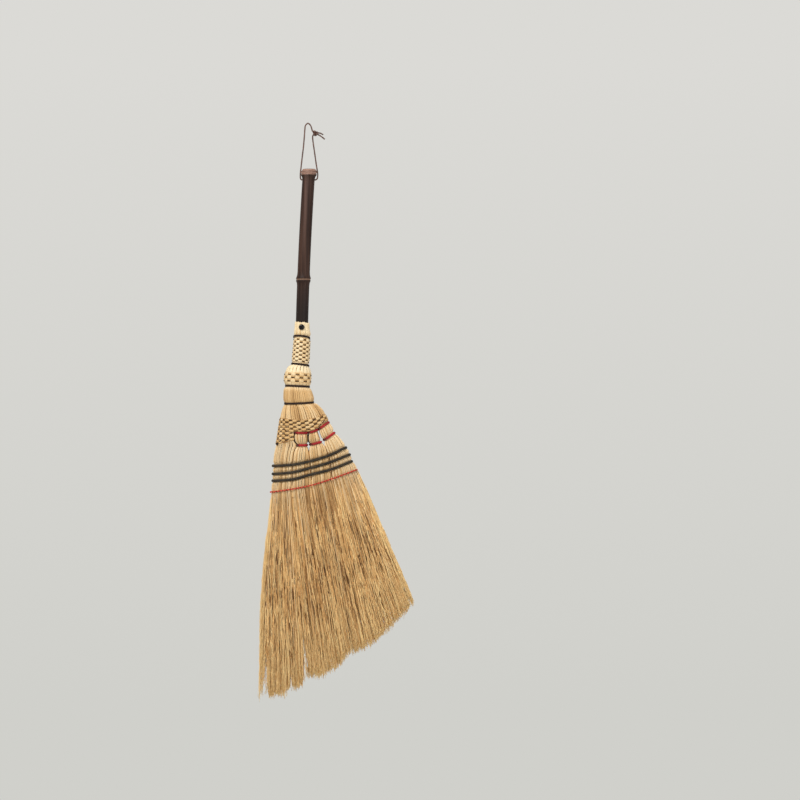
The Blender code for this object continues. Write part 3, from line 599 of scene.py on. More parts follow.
def makeHandle():
    bpy.ops.object.select_all(action="DESELECT")
    length = culm["visible"] + culm["hidden"]
    bottom = culm["topZ"] - length
    drops = {length, culm["visible"]}
    for middle in culm["nodeDrops"]:
        drops |= {middle + share * culm["nodeHalf"] for share, _ in culm["nodeShape"]}
    drops |= set(np.arange(culm["ringStart"], length, culm["ringStep"]).tolist())
    drops = sorted((drop for drop in drops if drop > culm["leastDrop"]), reverse=True)
    stations = [(culm["topZ"] - drop, culmRadius(drop)) for drop in drops]
    stations += [(culm["topZ"] - drop, culmRadius(0) + out) for drop, out in culm["rim"]]
    bpy.ops.mesh.primitive_circle_add(
        vertices=culm["sides"], radius=culm["radius"], fill_type="NGON", location=(culmX(bottom), 0, bottom)
    )
    body = bpy.context.object
    bpy.ops.object.mode_set(mode="EDIT")
    bpy.ops.mesh.select_all(action="SELECT")
    for old, new in zip(stations, stations[1:]):
        extrudeRing(*old, *new)
    bpy.ops.object.mode_set(mode="OBJECT")
    bpy.ops.object.transform_apply(location=True, rotation=True, scale=True)
    bpy.ops.mesh.primitive_cylinder_add(
        vertices=culm["holeSides"], radius=culm["holeRadius"], depth=culm["drill"],
        location=(culmX(culm["holeZ"]), 0, culm["holeZ"]), rotation=(0, math.pi / 2, 0),
    )
    drill = bpy.context.object
    bpy.ops.object.select_all(action="DESELECT")
    body.select_set(True)
    bpy.context.view_layer.objects.active = body
    hole = body.modifiers.new("thong hole", "BOOLEAN")
    hole.operation = "DIFFERENCE"
    hole.solver = "EXACT"
    hole.object = drill
    bpy.ops.object.modifier_apply(modifier=hole.name)
    bpy.data.objects.remove(drill)
    bpy.ops.object.shade_smooth_by_angle(angle=math.radians(38))
    body.name = "bamboo_culm"
    dress(body, "bamboo", ["handle"])


looks["bamboo"] = bambooLook()
makeHandle()

peg = {"radius": 0.0043, "sides": 40, "inset": 0.0006, "dome": 0.0019, "domeAngles": (0, 18, 36, 52, 68, 82)}


def makePeg():
    low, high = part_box("handle_peg")
    x, _, z = (low + high) / 2
    reach = (high.y - low.y) / 2 - peg["inset"]
    bpy.ops.object.select_all(action="DESELECT")
    bpy.ops.mesh.primitive_cylinder_add(
        vertices=peg["sides"], radius=peg["radius"], depth=2 * reach, location=(x, 0, z),
        rotation=(math.pi / 2, 0, 0),
    )
    body = bpy.context.object
    bpy.ops.object.transform_apply(location=True, rotation=True, scale=True)
    angles = [math.radians(angle) for angle in peg["domeAngles"]]
    for side in (-1, 1):
        bpy.ops.object.mode_set(mode="EDIT")
        bpy.ops.mesh.select_all(action="DESELECT")
        bpy.ops.object.mode_set(mode="OBJECT")
        for face in body.data.polygons:
            face.select = face.normal.y * side > 0.9
        bpy.ops.object.mode_set(mode="EDIT")
        bpy.ops.mesh.select_mode(type="FACE")
        for below, above in zip(angles, angles[1:]):
            rise = peg["dome"] * (math.sin(above) - math.sin(below))
            ratio = math.cos(above) / math.cos(below)
            bpy.ops.mesh.extrude_region_move(TRANSFORM_OT_translate={"value": (0, side * rise, 0)})
            bpy.ops.transform.resize(value=(ratio, 1, ratio), center_override=(x, side * reach, z))
        bpy.ops.object.mode_set(mode="OBJECT")
    bpy.ops.object.shade_smooth_by_angle(angle=math.radians(40))
    body.name = "peg"
    dress(body, "peg", ["handle_peg"])


makePeg()

print("stage: rows of the head")

head = {
    "collarZ": -0.2978, "neckLength": 0.1205, "layer": 0.020, "bore": 0.0096, "tilt": 0.0030,
    "neckEdge": 0.13, "valleyHalf": 0.0016, "width": 0.2325, "fanLength": 0.4420, "depth": 0.0372,
    "collarX": -0.0090, "bow": -0.0050, "bowReach": 0.5, "arches": (0.0026, 0.0010, 0.0004, -0.0008),
    "archReach": 0.0055, "soft": 0.0012, "strawSoft": 0.0016, "sharp": 0.0002,
}
# drop as a share of the neck's length, tilt, layer outside the culm (left, right, front), whether bound
neckShares = [
    (0.000, 0.40, 0.045, 0.065, 0.065, False), (0.014, 0.40, 0.070, 0.095, 0.100, False),
    (0.075, 0.60, 0.075, 0.115, 0.110, False), (0.137, 0.75, 0.110, 0.205, 0.150, False),
    (0.189, 0.83, 0.087, 0.110, 0.100, True), (0.218, 0.83, 0.125, 0.200, 0.160, False),
    (0.340, 0.90, 0.165, 0.185, 0.170, False), (0.450, 0.95, 0.212, 0.180, 0.175, False),
    (0.527, 1.00, 0.192, 0.098, 0.140, True), (0.567, 0.90, 0.505, 0.225, 0.280, False),
    (0.617, 0.80, 0.645, 0.305, 0.370, False), (0.666, 0.65, 0.735, 0.315, 0.410, False),
    (0.716, 0.60, 0.760, 0.307, 0.415, False), (0.763, 0.55, 0.705, 0.285, 0.385, False),
    (0.794, 0.53, 0.610, 0.185, 0.330, True), (0.832, 0.30, 0.765, 0.345, 0.410, False),
    (0.890, 0.00, 0.775, 0.485, 0.455, False), (0.940, -0.40, 0.780, 0.575, 0.460, False),
    (0.973, -0.55, 0.735, 0.585, 0.430, False), (1.000, -0.60, 0.645, 0.530, 0.380, True),
]
# five places across each row of the fan, as shares of its width and length
fanShares = {
    "flare": [(-0.120, 0.0112), (-0.068, 0.0124), (-0.013, 0.0137), (0.045, 0.0112), (0.102, 0.0061)],
    "spread": [(-0.133, 0.0315), (-0.071, 0.0354), (-0.006, 0.0366), (0.065, 0.0328), (0.135, 0.0239)],
    "weaveTop": [(-0.142, 0.0519), (-0.072, 0.0557), (-0.003, 0.0583), (0.068, 0.0544), (0.152, 0.0404)],
    "seam": [(-0.146, 0.0633), (-0.071, 0.0697), (0.003, 0.0723), (0.077, 0.0659), (0.164, 0.0519)],
    "upperTie": [(-0.157, 0.1033), (-0.054, 0.1009), (0.038, 0.1007), (0.103, 0.0899), (0.175, 0.0628)],
    "barrel": [(-0.163, 0.1244), (-0.050, 0.1232), (0.040, 0.1232), (0.116, 0.1117), (0.195, 0.0799)],
    "lowerTie": [(-0.170, 0.1448), (-0.045, 0.1435), (0.042, 0.1423), (0.132, 0.1295), (0.217, 0.0964)],
    "waist": [(-0.183, 0.1753), (-0.055, 0.1741), (0.045, 0.1664), (0.152, 0.1499), (0.253, 0.1232)],
    "navy1": [(-0.190, 0.2140), (-0.061, 0.2094), (0.050, 0.1979), (0.173, 0.1783), (0.290, 0.1486)],
    "navy2": [(-0.194, 0.2415), (-0.062, 0.2352), (0.054, 0.2204), (0.183, 0.2009), (0.315, 0.1728)],
    "navy3": [(-0.196, 0.2644), (-0.063, 0.2593), (0.058, 0.2427), (0.189, 0.2250), (0.329, 0.1957)],
    "red": [(-0.201, 0.3026), (-0.065, 0.2922), (0.062, 0.2788), (0.197, 0.2568), (0.361, 0.2250)],
    "tips": [(-0.280, 0.9987), (0.065, 0.9351), (0.257, 0.8778), (0.450, 0.8180), (0.720, 0.6729)],
}
# half depth of each row of the fan, and how much of it the edges keep
fanDepths = [
    (0.989, 0.16), (1.0, 0.22), (0.962, 0.3), (0.925, 0.34), (0.84, 0.4), (0.86, 0.4), (0.76, 0.42),
    (0.76, 0.44), (0.71, 0.45), (0.70, 0.45), (0.70, 0.45), (0.70, 0.45), (0.86, 0.45),
]


def headRows():
    # Each row: five places across it, its half depth and how much of that its edges keep.
    rows = []
    for drop, tilt, left, right, front, bound in neckShares:
        z = head["collarZ"] - drop * head["neckLength"]
        lean = tilt * head["tilt"] / 2
        start = np.array((culmX(z) - head["bore"] - left * head["layer"], z + lean))
        end = np.array((culmX(z) + head["bore"] + right * head["layer"], z - lean))
        for step in ((-head["valleyHalf"], head["valleyHalf"]) if bound else (0,)):
            points = np.linspace(start, end, 5) - (0, step)
            rows.append((points, head["bore"] + front * head["layer"], head["neckEdge"]))
    for shares, (half, edge) in zip(fanShares.values(), fanDepths):
        points = [(head["collarX"] + a * head["width"], fanTopZ - b * head["fanLength"]) for a, b in shares]
        rows.append((np.array(points), half * head["depth"] / 2, edge))
    return rows


fanTopZ = head["collarZ"] - head["neckLength"]
rowPoints, rowHalves, rowEdges = (np.array(part) for part in zip(*headRows()))
rowDowns = head["collarZ"] - rowPoints[:, 2, 1]
downs = dict(zip(fanShares, rowDowns[-len(fanShares):].tolist()))
bindingDowns = [share[0] * head["neckLength"] for share in neckShares if share[5]]


def blended(values, d, reach):
    # Reads row values at each d, softened over a short reach so that straw has no kinks.
    total = 0
    offsets = (-1, -0.5, 0, 0.5, 1)
    for offset in offsets:
        at = np.clip(d + offset * reach, rowDowns[0], rowDowns[-1])
        k = np.clip(np.searchsorted(rowDowns, at) - 1, 0, len(rowDowns) - 2)
        share = (at - rowDowns[k]) / (rowDowns[k + 1] - rowDowns[k])
        share = share.reshape(share.shape + (1,) * (values.ndim - 1))
        total = total + values[k] * (1 - share) + values[k + 1] * share
    return total / len(offsets)


def formAt(d, reach):
    # The row at each d. Above the first row's own reach, its middle is put at d itself.
    points = blended(rowPoints, d, reach)
    low = d < rowDowns[0] + reach
    points[low, :, 1] += ((head["collarZ"] - d)[:, None] - points[:, 2:3, 1])[low]
    return points, blended(rowHalves, d, reach), blended(rowEdges, d, reach)


def acrossPoints(points, s):
    # A smooth curve through the five places of each row. points is rows x 5 x 2, s is rows x places.
    before = 2 * points[:, :1] - points[:, 1:2]
    after = 2 * points[:, -1:] - points[:, -2:-1]
    padded = np.concatenate([before, points, after], 1)
    k = np.clip(s.astype(int), 0, 3)
    row = np.arange(len(points))[:, None]
    return curved(*(padded[row, k + i] for i in range(4)), (s - k)[..., None])


def depthAt(half, edge, s):
    c = s / 2 - 1
    return half[:, None] * (edge[:, None] + (1 - edge[:, None]) * np.sqrt(np.clip(1 - c * c, 0, 1)))


def fanAt(d):
    # How far down the loose straw each d is: 0 at the red row and 1 at the tips.
    return np.clip((d - downs["red"]) / (downs["tips"] - downs["red"]), 0, 1)


def bowAt(d, s):
    # The outermost straw on the left hangs in a bow.
    fan = fanAt(d)
    return head["bow"] * np.clip(1 - s / head["bowReach"], 0, 1) * 16 * (fan * (1 - fan)) ** 2


def archAt(d):
    # How much the front of the neck stands higher than its sides, which is the lie of each binding.
    rises = zip(bindingDowns, head["arches"])
    return sum(rise * np.exp(-((d - at) / head["archReach"]) ** 2) for at, rise in rises)


def outline(d, s0=0.0, s1=4.0, squeeze=(0.0, 0.0), depthShare=1.0, pillow=0.0, inset=0.0, reach=head["soft"],
            count=44):
    # Closed outlines, one for each d: front from left to right, then back from right to left.
    points, half, edge = formAt(d, reach)
    turn = (1 - np.cos(np.pi * np.arange(count) / (count - 1))) / 2
    ends = acrossPoints(points, np.array([[s0, s1]] * len(d)))
    room = np.linalg.norm(ends[:, 1] - ends[:, 0], axis=1) / (s1 - s0)
    inset = np.broadcast_to(inset, len(d))
    first = s0 + (squeeze[0] + (inset if s0 == 0 else 0)) / room
    last = s1 - (squeeze[1] + (inset if s1 == 4 else 0)) / room
    s = first[:, None] + (last - first)[:, None] * turn
    flat = acrossPoints(points, s)
    flat[..., 0] += bowAt(d[:, None], s)
    deep = depthAt(half, edge, s) - inset[:, None]
    deep = deep * (1 - pillow * np.abs(2 * turn - 1) ** 4) * np.broadcast_to(depthShare, len(d))[:, None]
    arch = archAt(d)[:, None] * deep / half[:, None]
    front = np.stack([flat[..., 0], -deep, flat[..., 1] + arch], -1)
    back = np.stack([flat[..., 0], deep, flat[..., 1] - arch], -1)
    return np.concatenate([front, back[:, ::-1]], 1)


def placesAt(rings, shares):
    # Places at the given shares of each outline's length, and that length.
    made = []
    lengths = []
    for ring in np.concatenate([rings, rings[:, :1]], 1):
        reach = reachAlong(ring)
        made.append(readAt(shares * reach[-1], reach, ring))
        lengths.append(reach[-1])
    return np.array(made), np.array(lengths)


def evenShares(count, turn):
    return (np.arange(count) + 0.5 + turn) / count


laid = {"vary": 0.25, "touching": 0.03, "group": (2, 5), "uneven": (0.4, 1.4), "deepest": 0.0030}


def handLaid(count, dice, gap=0.5):
    # Stalks as a hand lays them: uneven widths, in small groups with a dark gap between.
    widths = dice.uniform(1 - laid["vary"], 1 + laid["vary"], count)
    gaps = np.full(count, laid["touching"])
    at = 0
    while at < count:
        at += int(dice.integers(*laid["group"]))
        gaps[min(at, count) - 1] = gap * dice.uniform(*laid["uneven"])
    total = (widths + gaps).sum()
    ends = np.cumsum(widths + gaps) - gaps
    return (ends - widths / 2) / total, widths / total


def straws(rings, shares, widthShares, dice, tones, fill=1.0, thick=0.85, push=0.0, swell=1.0, sunk=0.0004,
           profile=None, ragged=0.0):
    # Stalks side by side round the outlines, with their outer faces on them.
    places, lengths = placesAt(rings, shares)
    outward = outwardOf(places).transpose(1, 0, 2)
    widths = lengths[:, None] * widthShares * fill * swell
    depths = np.minimum(widths * thick, laid["deepest"])
    inward = push - depths / 2 - dice.uniform(0, sunk, len(shares))
    centres = places.transpose(1, 0, 2) + outward * inward.T[..., None]
    if ragged:
        centres[:, 0, 2] += dice.uniform(-ragged, ragged, len(shares))
    profile = circleProfile(8) if profile is None else profile
    return sweptMesh(centres, outward, widths.T, depths.T, profile, tones=tones)


def shrunkCopy(node, amount, name):
    # The straw deep inside, painted dark as the shade between the stalks: the solid itself, drawn in under
    # the stalks.
    made = bpy.data.objects.new(name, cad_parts[node].data.copy())
    bpy.context.collection.objects.link(made)
    bpy.ops.object.select_all(action="DESELECT")
    made.select_set(True)
    bpy.context.view_layer.objects.active = made
    bpy.ops.object.mode_set(mode="EDIT")
    bpy.ops.mesh.select_all(action="SELECT")
    bpy.ops.mesh.remove_doubles(threshold=0.00001)
    bpy.ops.transform.shrink_fatten(value=-amount)
    bpy.ops.object.mode_set(mode="OBJECT")
    dress(made, "core")


print("stage: neck")

neck = {
    "sleeveColumns": 14, "sleeveTurn": -0.38, "bellyColumns": 18, "bellyTurn": -0.36, "seed": 3,
    "collarStalks": 36, "hipStalks": 48, "flareStalks": 50, "thread": 0.0015,
    "rowPitch": 0.00315, "bellyPitch": 0.0046, "bellyRows": (0.0145, 0.0191, 0.0243),
    "push": 0.0008, "swell": 0.17, "columnFill": 0.99, "columnThick": 0.46, "drawnIn": 0.05, "parted": 0.16,
    # shade: how much the woven stalks are painted paler where they swell out and darker where the thread
    # holds them in
    "tones": (0.22, 0.55), "shade": 0.42, "endTone": 0.25, "sidePaler": 0.3, "coreIn": 0.0014,
    "threadStart": 0.0042, "threadStop": 0.0030, "collarTones": (0.65, 1.15), "collarFade": 0.35,
    "hipTones": (0.15, 0.8), "flareTones": (-0.35, 0.75), "underWeave": 0.0016, "underReach": 0.002,
    "step": 0.0006, "hipStep": 0.0009, "flareStep": 0.0012, "before": 0.0003, "past": 0.0004,
    "sleeveSoft": 0.0009, "drawnReach": 0.003, "hipHighlight": 0.65, "hipHighlightReach": 0.008, "hipDuller": 0.2,
    # how far past the end rows the weave fades, over what reach, and where the stalks above it part
    "fadeStart": 0.8, "fadeReach": 0.5, "brighter": 0.06, "aboveRow": 0.3, "aboveFade": 0.4, "partRow": 0.7,
}
# places of the lacing's thread off the columns, in thread diameters, where it runs over and under them
lacing = {"between": -0.72, "side": (0.12, -0.9), "top": (0.168, -1.32), "share": 0.42, "flat": 0.8}
cushion = {"sides": 16, "squarer": (0.85, 0.95), "groove": 0.06}


def cushionProfile():
    # Three stalks side by side that the thread holds as one.
    angle = 2 * math.pi * (np.arange(cushion["sides"]) + 0.5) / cushion["sides"]
    x, y = (
        0.5 * np.sign(turned) * np.abs(turned) ** power
        for turned, power in zip((np.cos(angle), np.sin(angle)), cushion["squarer"])
    )
    return np.stack([x, y * (1 - cushion["groove"] * np.cos(6 * math.pi * x) ** 2)], 1)


def wovenColumns(rings, columns, turn, rowAt, last, dice, above=0.0, full=1.0):
    # Columns of stalks that swell out where the thread runs behind them, which fades out past the end rows.
    rowAt = rowAt[:, None]
    gate = np.clip((np.minimum(rowAt, last - rowAt) + neck["fadeStart"]) / neck["fadeReach"], 0, 1)
    wave = np.cos(np.pi * (rowAt + np.arange(columns))) * gate * full
    # painted highlight where a column swells out, and painted shade where the thread pulls it in
    tones = dice.uniform(*neck["tones"], columns) + neck["brighter"] - neck["shade"] * wave
    paler = above * (np.clip(-neck["aboveRow"] - rowAt, 0, 1) - neck["aboveFade"])
    tones = tones + paler + neck["endTone"] * (1 - gate)
    parted = neck["parted"] * np.clip(-neck["partRow"] - rowAt, 0, 1)
    return straws(
        rings, evenShares(columns, turn), np.full(columns, 1 / columns), dice, tones.T,
        fill=neck["columnFill"], thick=neck["columnThick"], push=-wave * neck["push"],
        swell=1 - neck["swell"] * wave - parted, sunk=0.0001, profile=cushionProfile(),
    )


def threadRow(at, out, overs, whole, diameter, steep=0.0):
    # One row of thread that passes over some columns and under the others. A steep one leans at each.
    if whole:
        before, after = np.roll(at, 1, 0), np.roll(at, -1, 0)
    else:
        before = np.vstack([2 * at[:1] - at[1:2], at[:-1]])
        after = np.vstack([at[1:], 2 * at[-1:] - at[-2:-1]])
    off = out * diameter
    left = (before + at) / 2 + off * lacing["between"]
    right = (after + at) / 2 + off * lacing["between"]
    side = off * np.where(overs, *lacing["side"])[:, None]
    lean = (left - right) * (0, 0, steep)
    own = at * lacing["share"]
    rest = 1 - lacing["share"]
    top = at + off * np.where(overs, *lacing["top"])[:, None]
    points = np.stack([left, own + left * rest + side + lean, top, own + right * rest + side - lean], 1)
    outward = np.repeat(out, 4, axis=0)
    return sweptMesh(
        points.reshape(1, -1, 3), outward[None], diameter, diameter * lacing["flat"], circleProfile(8), whole
    )


def threadRows(rings, rowDs, d, columns, turn):
    threads = []
    for row, i in enumerate(np.searchsorted(d, rowDs)):
        places, _ = placesAt(rings[i:i + 1], evenShares(columns, turn))
        overs = (np.arange(columns) + row) % 2 == 0
        threads.append(threadRow(places[0], outwardOf(places)[0], overs, True, neck["thread"]))
    return joinMeshes(threads)


def makeSleeve(dice):
    # The collar, and the woven neck between the first two bindings.
    first, second = bindingDowns[:2]
    columns, turn = neck["sleeveColumns"], neck["sleeveTurn"]
    d = np.arange(0, second + neck["past"], neck["step"])
    rings = outline(d, reach=neck["sleeveSoft"])
    drawnIn = neck["drawnIn"] * np.clip(np.minimum(d - first, second - d) / neck["drawnReach"], 0, 1)
    middle = rings.mean(1, keepdims=True)
    rings = middle + (rings - middle) * (1 - drawnIn[:, None, None])
    rowDs = np.arange(first + neck["threadStart"], second - neck["threadStop"], neck["rowPitch"])
    rowAt = (d - rowDs[0]) / neck["rowPitch"]
    lower = d >= first
    mesh = wovenColumns(rings[lower], columns, turn, rowAt[lower], len(rowDs) - 1, dice)
    addPiece("woven_sleeve", mesh, "cushion", ["neck_weave"])
    addPiece("sleeve_thread", threadRows(rings, rowDs, d, columns, turn), "thread")
    shares, widths = handLaid(neck["collarStalks"], dice, gap=0.2)
    upper = d <= first + neck["step"]
    tones = dice.uniform(*neck["collarTones"], len(shares))[:, None]
    tones = tones - neck["collarFade"] * (d[upper] / first) ** 2
    mesh = straws(rings[upper], shares, widths, dice, tones, fill=1.1, thick=0.6, ragged=0.0009)
    addPiece("collar_straw", mesh, "cushion")


def makeBelly(dice):
    # The first bulge, woven across its middle.
    second, third = bindingDowns[1:3]
    columns, turn = neck["bellyColumns"], neck["bellyTurn"]
    d = np.arange(second, third + neck["past"], neck["step"])
    rings = outline(d)
    rowDs = second + np.array(neck["bellyRows"])
    rowAt = np.interp(d, rowDs, np.arange(3)) + (d - np.clip(d, rowDs[0], rowDs[-1])) / neck["bellyPitch"]
    mesh = wovenColumns(rings, columns, turn, rowAt, 2, dice, above=0.4, full=0.62)
    addPiece("woven_belly", mesh, "cushion", ["bulge_weave"])
    addPiece("belly_thread", threadRows(rings, rowDs, d, columns, turn), "thread")


def alike(tones):
    # Each stalk takes after its neighbours, so that they lie in broad soft bands.
    return tones * 0.5 + (np.roll(tones, 1) + np.roll(tones, -1)) * 0.25


def makeNeck():
    dice = np.random.default_rng(neck["seed"])
    makeSleeve(dice)
    makeBelly(dice)
    third, fourth = bindingDowns[2:]
    d = np.arange(third - neck["before"], fourth + neck["past"], neck["hipStep"])
    shares, widths = handLaid(neck["hipStalks"], dice, gap=0.08)
    # painted highlight: the hip's stalks are paler at its top just below the third binding, and a little
    # duller all over
    paintedTopLight = neck["hipHighlight"] * np.clip(1 - (d - third) / neck["hipHighlightReach"], 0, 1) - neck["hipDuller"]
    tones = alike(dice.uniform(*neck["hipTones"], len(shares)))[:, None] + paintedTopLight
    hip = straws(outline(d), shares, widths, dice, tones, sunk=0.0002)
    d = np.arange(fourth - neck["before"], downs["seam"] + 0.006, neck["flareStep"])
    under = np.clip((d - downs["weaveTop"]) / neck["underReach"], 0, 1) * neck["underWeave"]
    shares, widths = handLaid(neck["flareStalks"], dice, gap=0.22)
    tones = alike(dice.uniform(*neck["flareTones"], len(shares)))
    tones = tones + neck["sidePaler"] * np.abs(np.cos(2 * np.pi * shares)) ** 3
    flare = straws(outline(d, inset=under, reach=head["strawSoft"]), shares, widths, dice, tones, sunk=0.0005)
    addPiece("neck_straw", joinMeshes([hip, flare]), "stalk", ["neck_stalks"])
    shrunkCopy("neck_stalks", neck["coreIn"], "neck_core")


makeNeck()

print("stage: cords round the neck")


def twisted(path, outward, plies, thick, lay, closed=False):
    # Plies wound round each other along a path, lay being the length of one full turn.
    reach = reachAlong(np.vstack([path, path[:1]]) if closed else path)
    turns = max(1, round(reach[-1] / lay)) if closed else reach[-1] / lay
    sideways, outward = framesOf(path, outward, closed)
    starts = np.arange(plies)[:, None] / plies
    angle = 2 * np.pi * (reach[:len(path)] / reach[-1] * turns + starts)[..., None]
    shift = sideways * np.cos(angle) + outward * np.sin(angle)
    return path + shift * (thick / 2 if plies > 1 else 0), shift


def cordRing(ring, plies, thick, lay, lift, step=0.0005, sides=8, toneAt=None):
    path = spaced(np.vstack([ring, ring[:1]]), step, closed=True)
    outward = outwardOf(path)
    path = path + outward * lift
    lines, normals = twisted(path, outward, plies, thick, lay, closed=True)
    tones = np.tile(toneAt(path), (plies, 1)) if toneAt else None
    return sweptMesh(lines, normals, thick, thick, circleProfile(sides), closed=True, tones=tones)


binding = {"thick": 0.0015, "turns": (-0.0008, 0.0007), "lift": 0.0005}


def makeBindings():
    for number, drop in enumerate(bindingDowns, 1):
        rings = outline(drop + np.array(binding["turns"]), reach=head["sharp"])
        mesh = joinMeshes([cordRing(ring, 1, binding["thick"], 1.0, binding["lift"]) for ring in rings])
        addPiece(f"binding_{number}", mesh, "black", [f"neck_binding_{number}"])


makeBindings()

print("stage: shoulder weave")

shoulder = {
    "columns": 32, "narrow": 3, "narrowShare": 0.667, "pitches": (0.0036, 0.00305, 0.0030), "firstRow": 0.55,
    "leftDrop": 0.1397, "leftRise": 0.1244, "tieRow": 0.0024, "deepest": 0.0026, "duller": 0.36,
    "paintedSunkShade": 0.2, "thread": 0.0014, "steep": 0.8, "seed": 12, "step": 0.0006, "past": 0.003,
    # how the weave fades in above its first row and out at its end, and where its parts stop there
    "fadeStart": 0.9, "fadeReach": 0.6, "endReach": 0.0012, "columnPast": 0.0008, "threadShort": 0.0004,
}


def weaveEnds(s):
    # Heights where the weave starts and stops at each place across a row.
    points, _, _ = formAt(np.array([downs["weaveTop"], downs["upperTie"]]), head["sharp"])
    top, end = acrossPoints(points, np.array([s.reshape(-1)] * 2))[..., 1].reshape(2, *s.shape)
    drop = shoulder["leftDrop"] + (shoulder["leftRise"] - shoulder["leftDrop"]) * s
    return top, np.where(s < 1.0, fanTopZ - drop * head["fanLength"], end + shoulder["tieRow"])


def crossedRuns(crossed):
    # Stretches of neighbouring columns that a row crosses, and whether it goes all the way round.
    count = len(crossed)
    if all(crossed):
        return [(list(range(count)), True)]
    if not any(crossed):
        return []
    runs = []
    start = crossed.index(False)
    run = []
    for step in range(1, count + 1):
        k = (start + step) % count
        if crossed[k]:
            run.append(k)
        else:
            if len(run) > 1:
                runs.append((run, False))
            run = []
    return runs


def makeShoulder():
    dice = np.random.default_rng(shoulder["seed"])
    step = shoulder["step"]
    d = np.arange(downs["weaveTop"] - step, downs["lowerTie"] + shoulder["past"], step)
    order = np.arange(shoulder["columns"])
    narrow = np.minimum(order, order[::-1]) < shoulder["narrow"]
    widthShares = np.where(narrow, shoulder["narrowShare"], 1.0)
    widthShares /= widthShares.sum()
    places, lengths = placesAt(outline(d, reach=head["strawSoft"]), np.cumsum(widthShares) - widthShares / 2)
    outward = outwardOf(places)
    fine = np.linspace(0, 4, 161)
    xs = acrossPoints(formAt(d, head["strawSoft"])[0], np.broadcast_to(fine, (len(d), len(fine))))[..., 0]
    s = np.array([np.interp(place[:, 0], x, fine) for place, x in zip(places, xs)])
    height = places[..., 2]
    topZ, endZ = weaveEnds(s)
    rowAt = (topZ - height) / np.interp(s, [0, 1, 4], shoulder["pitches"]) - shoulder["firstRow"]
    gate = np.clip((rowAt + shoulder["fadeStart"]) / shoulder["fadeReach"], 0, 1)
    gate = gate * np.clip((height - endZ) / shoulder["endReach"], 0, 1)
    wave = np.cos(np.pi * (rowAt + order)) * gate
    widths = lengths[:, None] * widthShares * neck["columnFill"] * (1 - neck["swell"] * wave)
    depths = np.minimum(widths * neck["columnThick"], shoulder["deepest"])
    centres = places + outward * (-wave * neck["push"] - depths / 2)[..., None]
    tones = dice.uniform(*neck["tones"], len(order)) - shoulder["duller"]
    # painted highlight where a column swells out, and painted shade where the thread sinks it
    tones = tones + neck["shade"] * np.clip(-wave, 0, 1) ** 2 - shoulder["paintedSunkShade"] * np.clip(wave, 0, 1)
    columns = []
    for k in order:
        keep = height[:, k] >= endZ[:, k] - shoulder["columnPast"]
        stop = len(keep) if keep.all() else max(4, int(np.argmin(keep)))
        columns.append(sweptMesh(
            centres[None, :stop, k], outward[None, :stop, k], widths[None, :stop, k], depths[None, :stop, k],
            cushionProfile(), tones=tones[:stop, k],
        ))
    addPiece("woven_shoulder", joinMeshes(columns), "cushion", ["shoulder_weave"])
    threads = []
    for row in range(int(rowAt.max()) + 1):
        hits = [min(int(np.searchsorted(rowAt[:, k], row)), len(d) - 1) for k in order]
        at, out = places[hits, order], outward[hits, order]
        crossed = (rowAt[hits, order] >= row) & (at[:, 2] > endZ[hits, order] + shoulder["threadShort"])
        for run, whole in crossedRuns(crossed.tolist()):
            overs = (np.array(run) + row) % 2 == 0
            threads.append(threadRow(at[run], out[run], overs, whole, shoulder["thread"], shoulder["steep"]))
    addPiece("shoulder_thread", joinMeshes(threads), "thread")


makeShoulder()

print("stage: tied bundles")

bundles = {
    "left_1": {"span": (0.0, 0.5), "stalks": 44, "heads": 8, "light": -0.18, "loose": (0.06, 0.0)},
    "left_2": {"span": (0.5, 1.0), "stalks": 40, "heads": 7, "light": -0.19, "loose": (0.0, 0.0)},
    "a": {"span": (1.0, 2.0), "stalks": 58, "heads": 9, "light": -0.19, "loose": (0.04, 0.0)},
    "b": {"span": (2.0, 3.0), "stalks": 58, "heads": 9, "light": -0.13, "loose": (0.05, 0.0)},
    "c": {"span": (3.0, 4.0), "stalks": 70, "heads": 12, "light": 0.08, "loose": (0.12, -0.02)},
}
tie = {
    "plies": 3, "ply": 0.0019, "lay": 0.0085, "lift": 0.0009, "squeeze": 0.0023, "lowerShare": 0.88,
    "upperSqueeze": {"a": 0.0013, "b": 0.0013, "c": 0.0023}, "valley": 0.0014, "depthShare": 0.82,
    "gap": 0.00035, "pillow": 0.16, "barrel": 0.0003, "barrelHalf": 0.0075, "darkShare": 0.2,
    "openSeam": {"b": (0.0, 0.0011), "c": (0.0015, 0.0)}, "overlap": 0.0009, "lean": 1.1, "leanOver": 0.0005,
    "linkPly": 0.0010, "linkLay": 0.0040, "linkLift": 0.0006, "linkStep": 0.0005, "linkRings": 30,
    "linkAbove": 0.0010, "linkBelow": 0.0006,
}
navyCord = {"look": "navy", "slot": "navy_cord", "plies": 3, "ply": 0.0022, "lay": 0.0078, "sink": 0.0023}
rowCords = {
    "navy1": {**navyCord, "node": "navy_row_1", "ends": (0.0, 0.0009)},
    "navy2": {**navyCord, "node": "navy_row_2", "ends": (0.0007, 0.0010)},
    "navy3": {**navyCord, "node": "navy_row_3", "ends": (0.0010, 0.0010)},
    "red": {
        "look": "stitch", "slot": "red_stitch", "plies": 2, "ply": 0.0013, "lay": 0.0062, "sink": 0.0008,
        "node": "red_row", "ends": (0.0, 0.0014), "shadowTicks": 0.0052,
    },
}
# how far above and below each row the straw sinks in, and how its cord lies there
rowLay = {"sinkHalf": 0.0050, "proud": 0.0002, "soft": 0.0003, "lift": 0.55, "step": 0.0009, "sides": 10}


def sinkAt(d):
    depth = np.zeros(np.shape(d))
    for name, cord in rowCords.items():
        away = np.abs(d - downs[name]) / rowLay["sinkHalf"]
        depth = np.maximum(depth, cord["sink"] * np.clip(1 - away ** 1.5, 0, 1))
    return depth


def smoothed(values):
    return np.convolve(np.pad(values, 1, "edge"), np.ones(3) / 3, "valid")


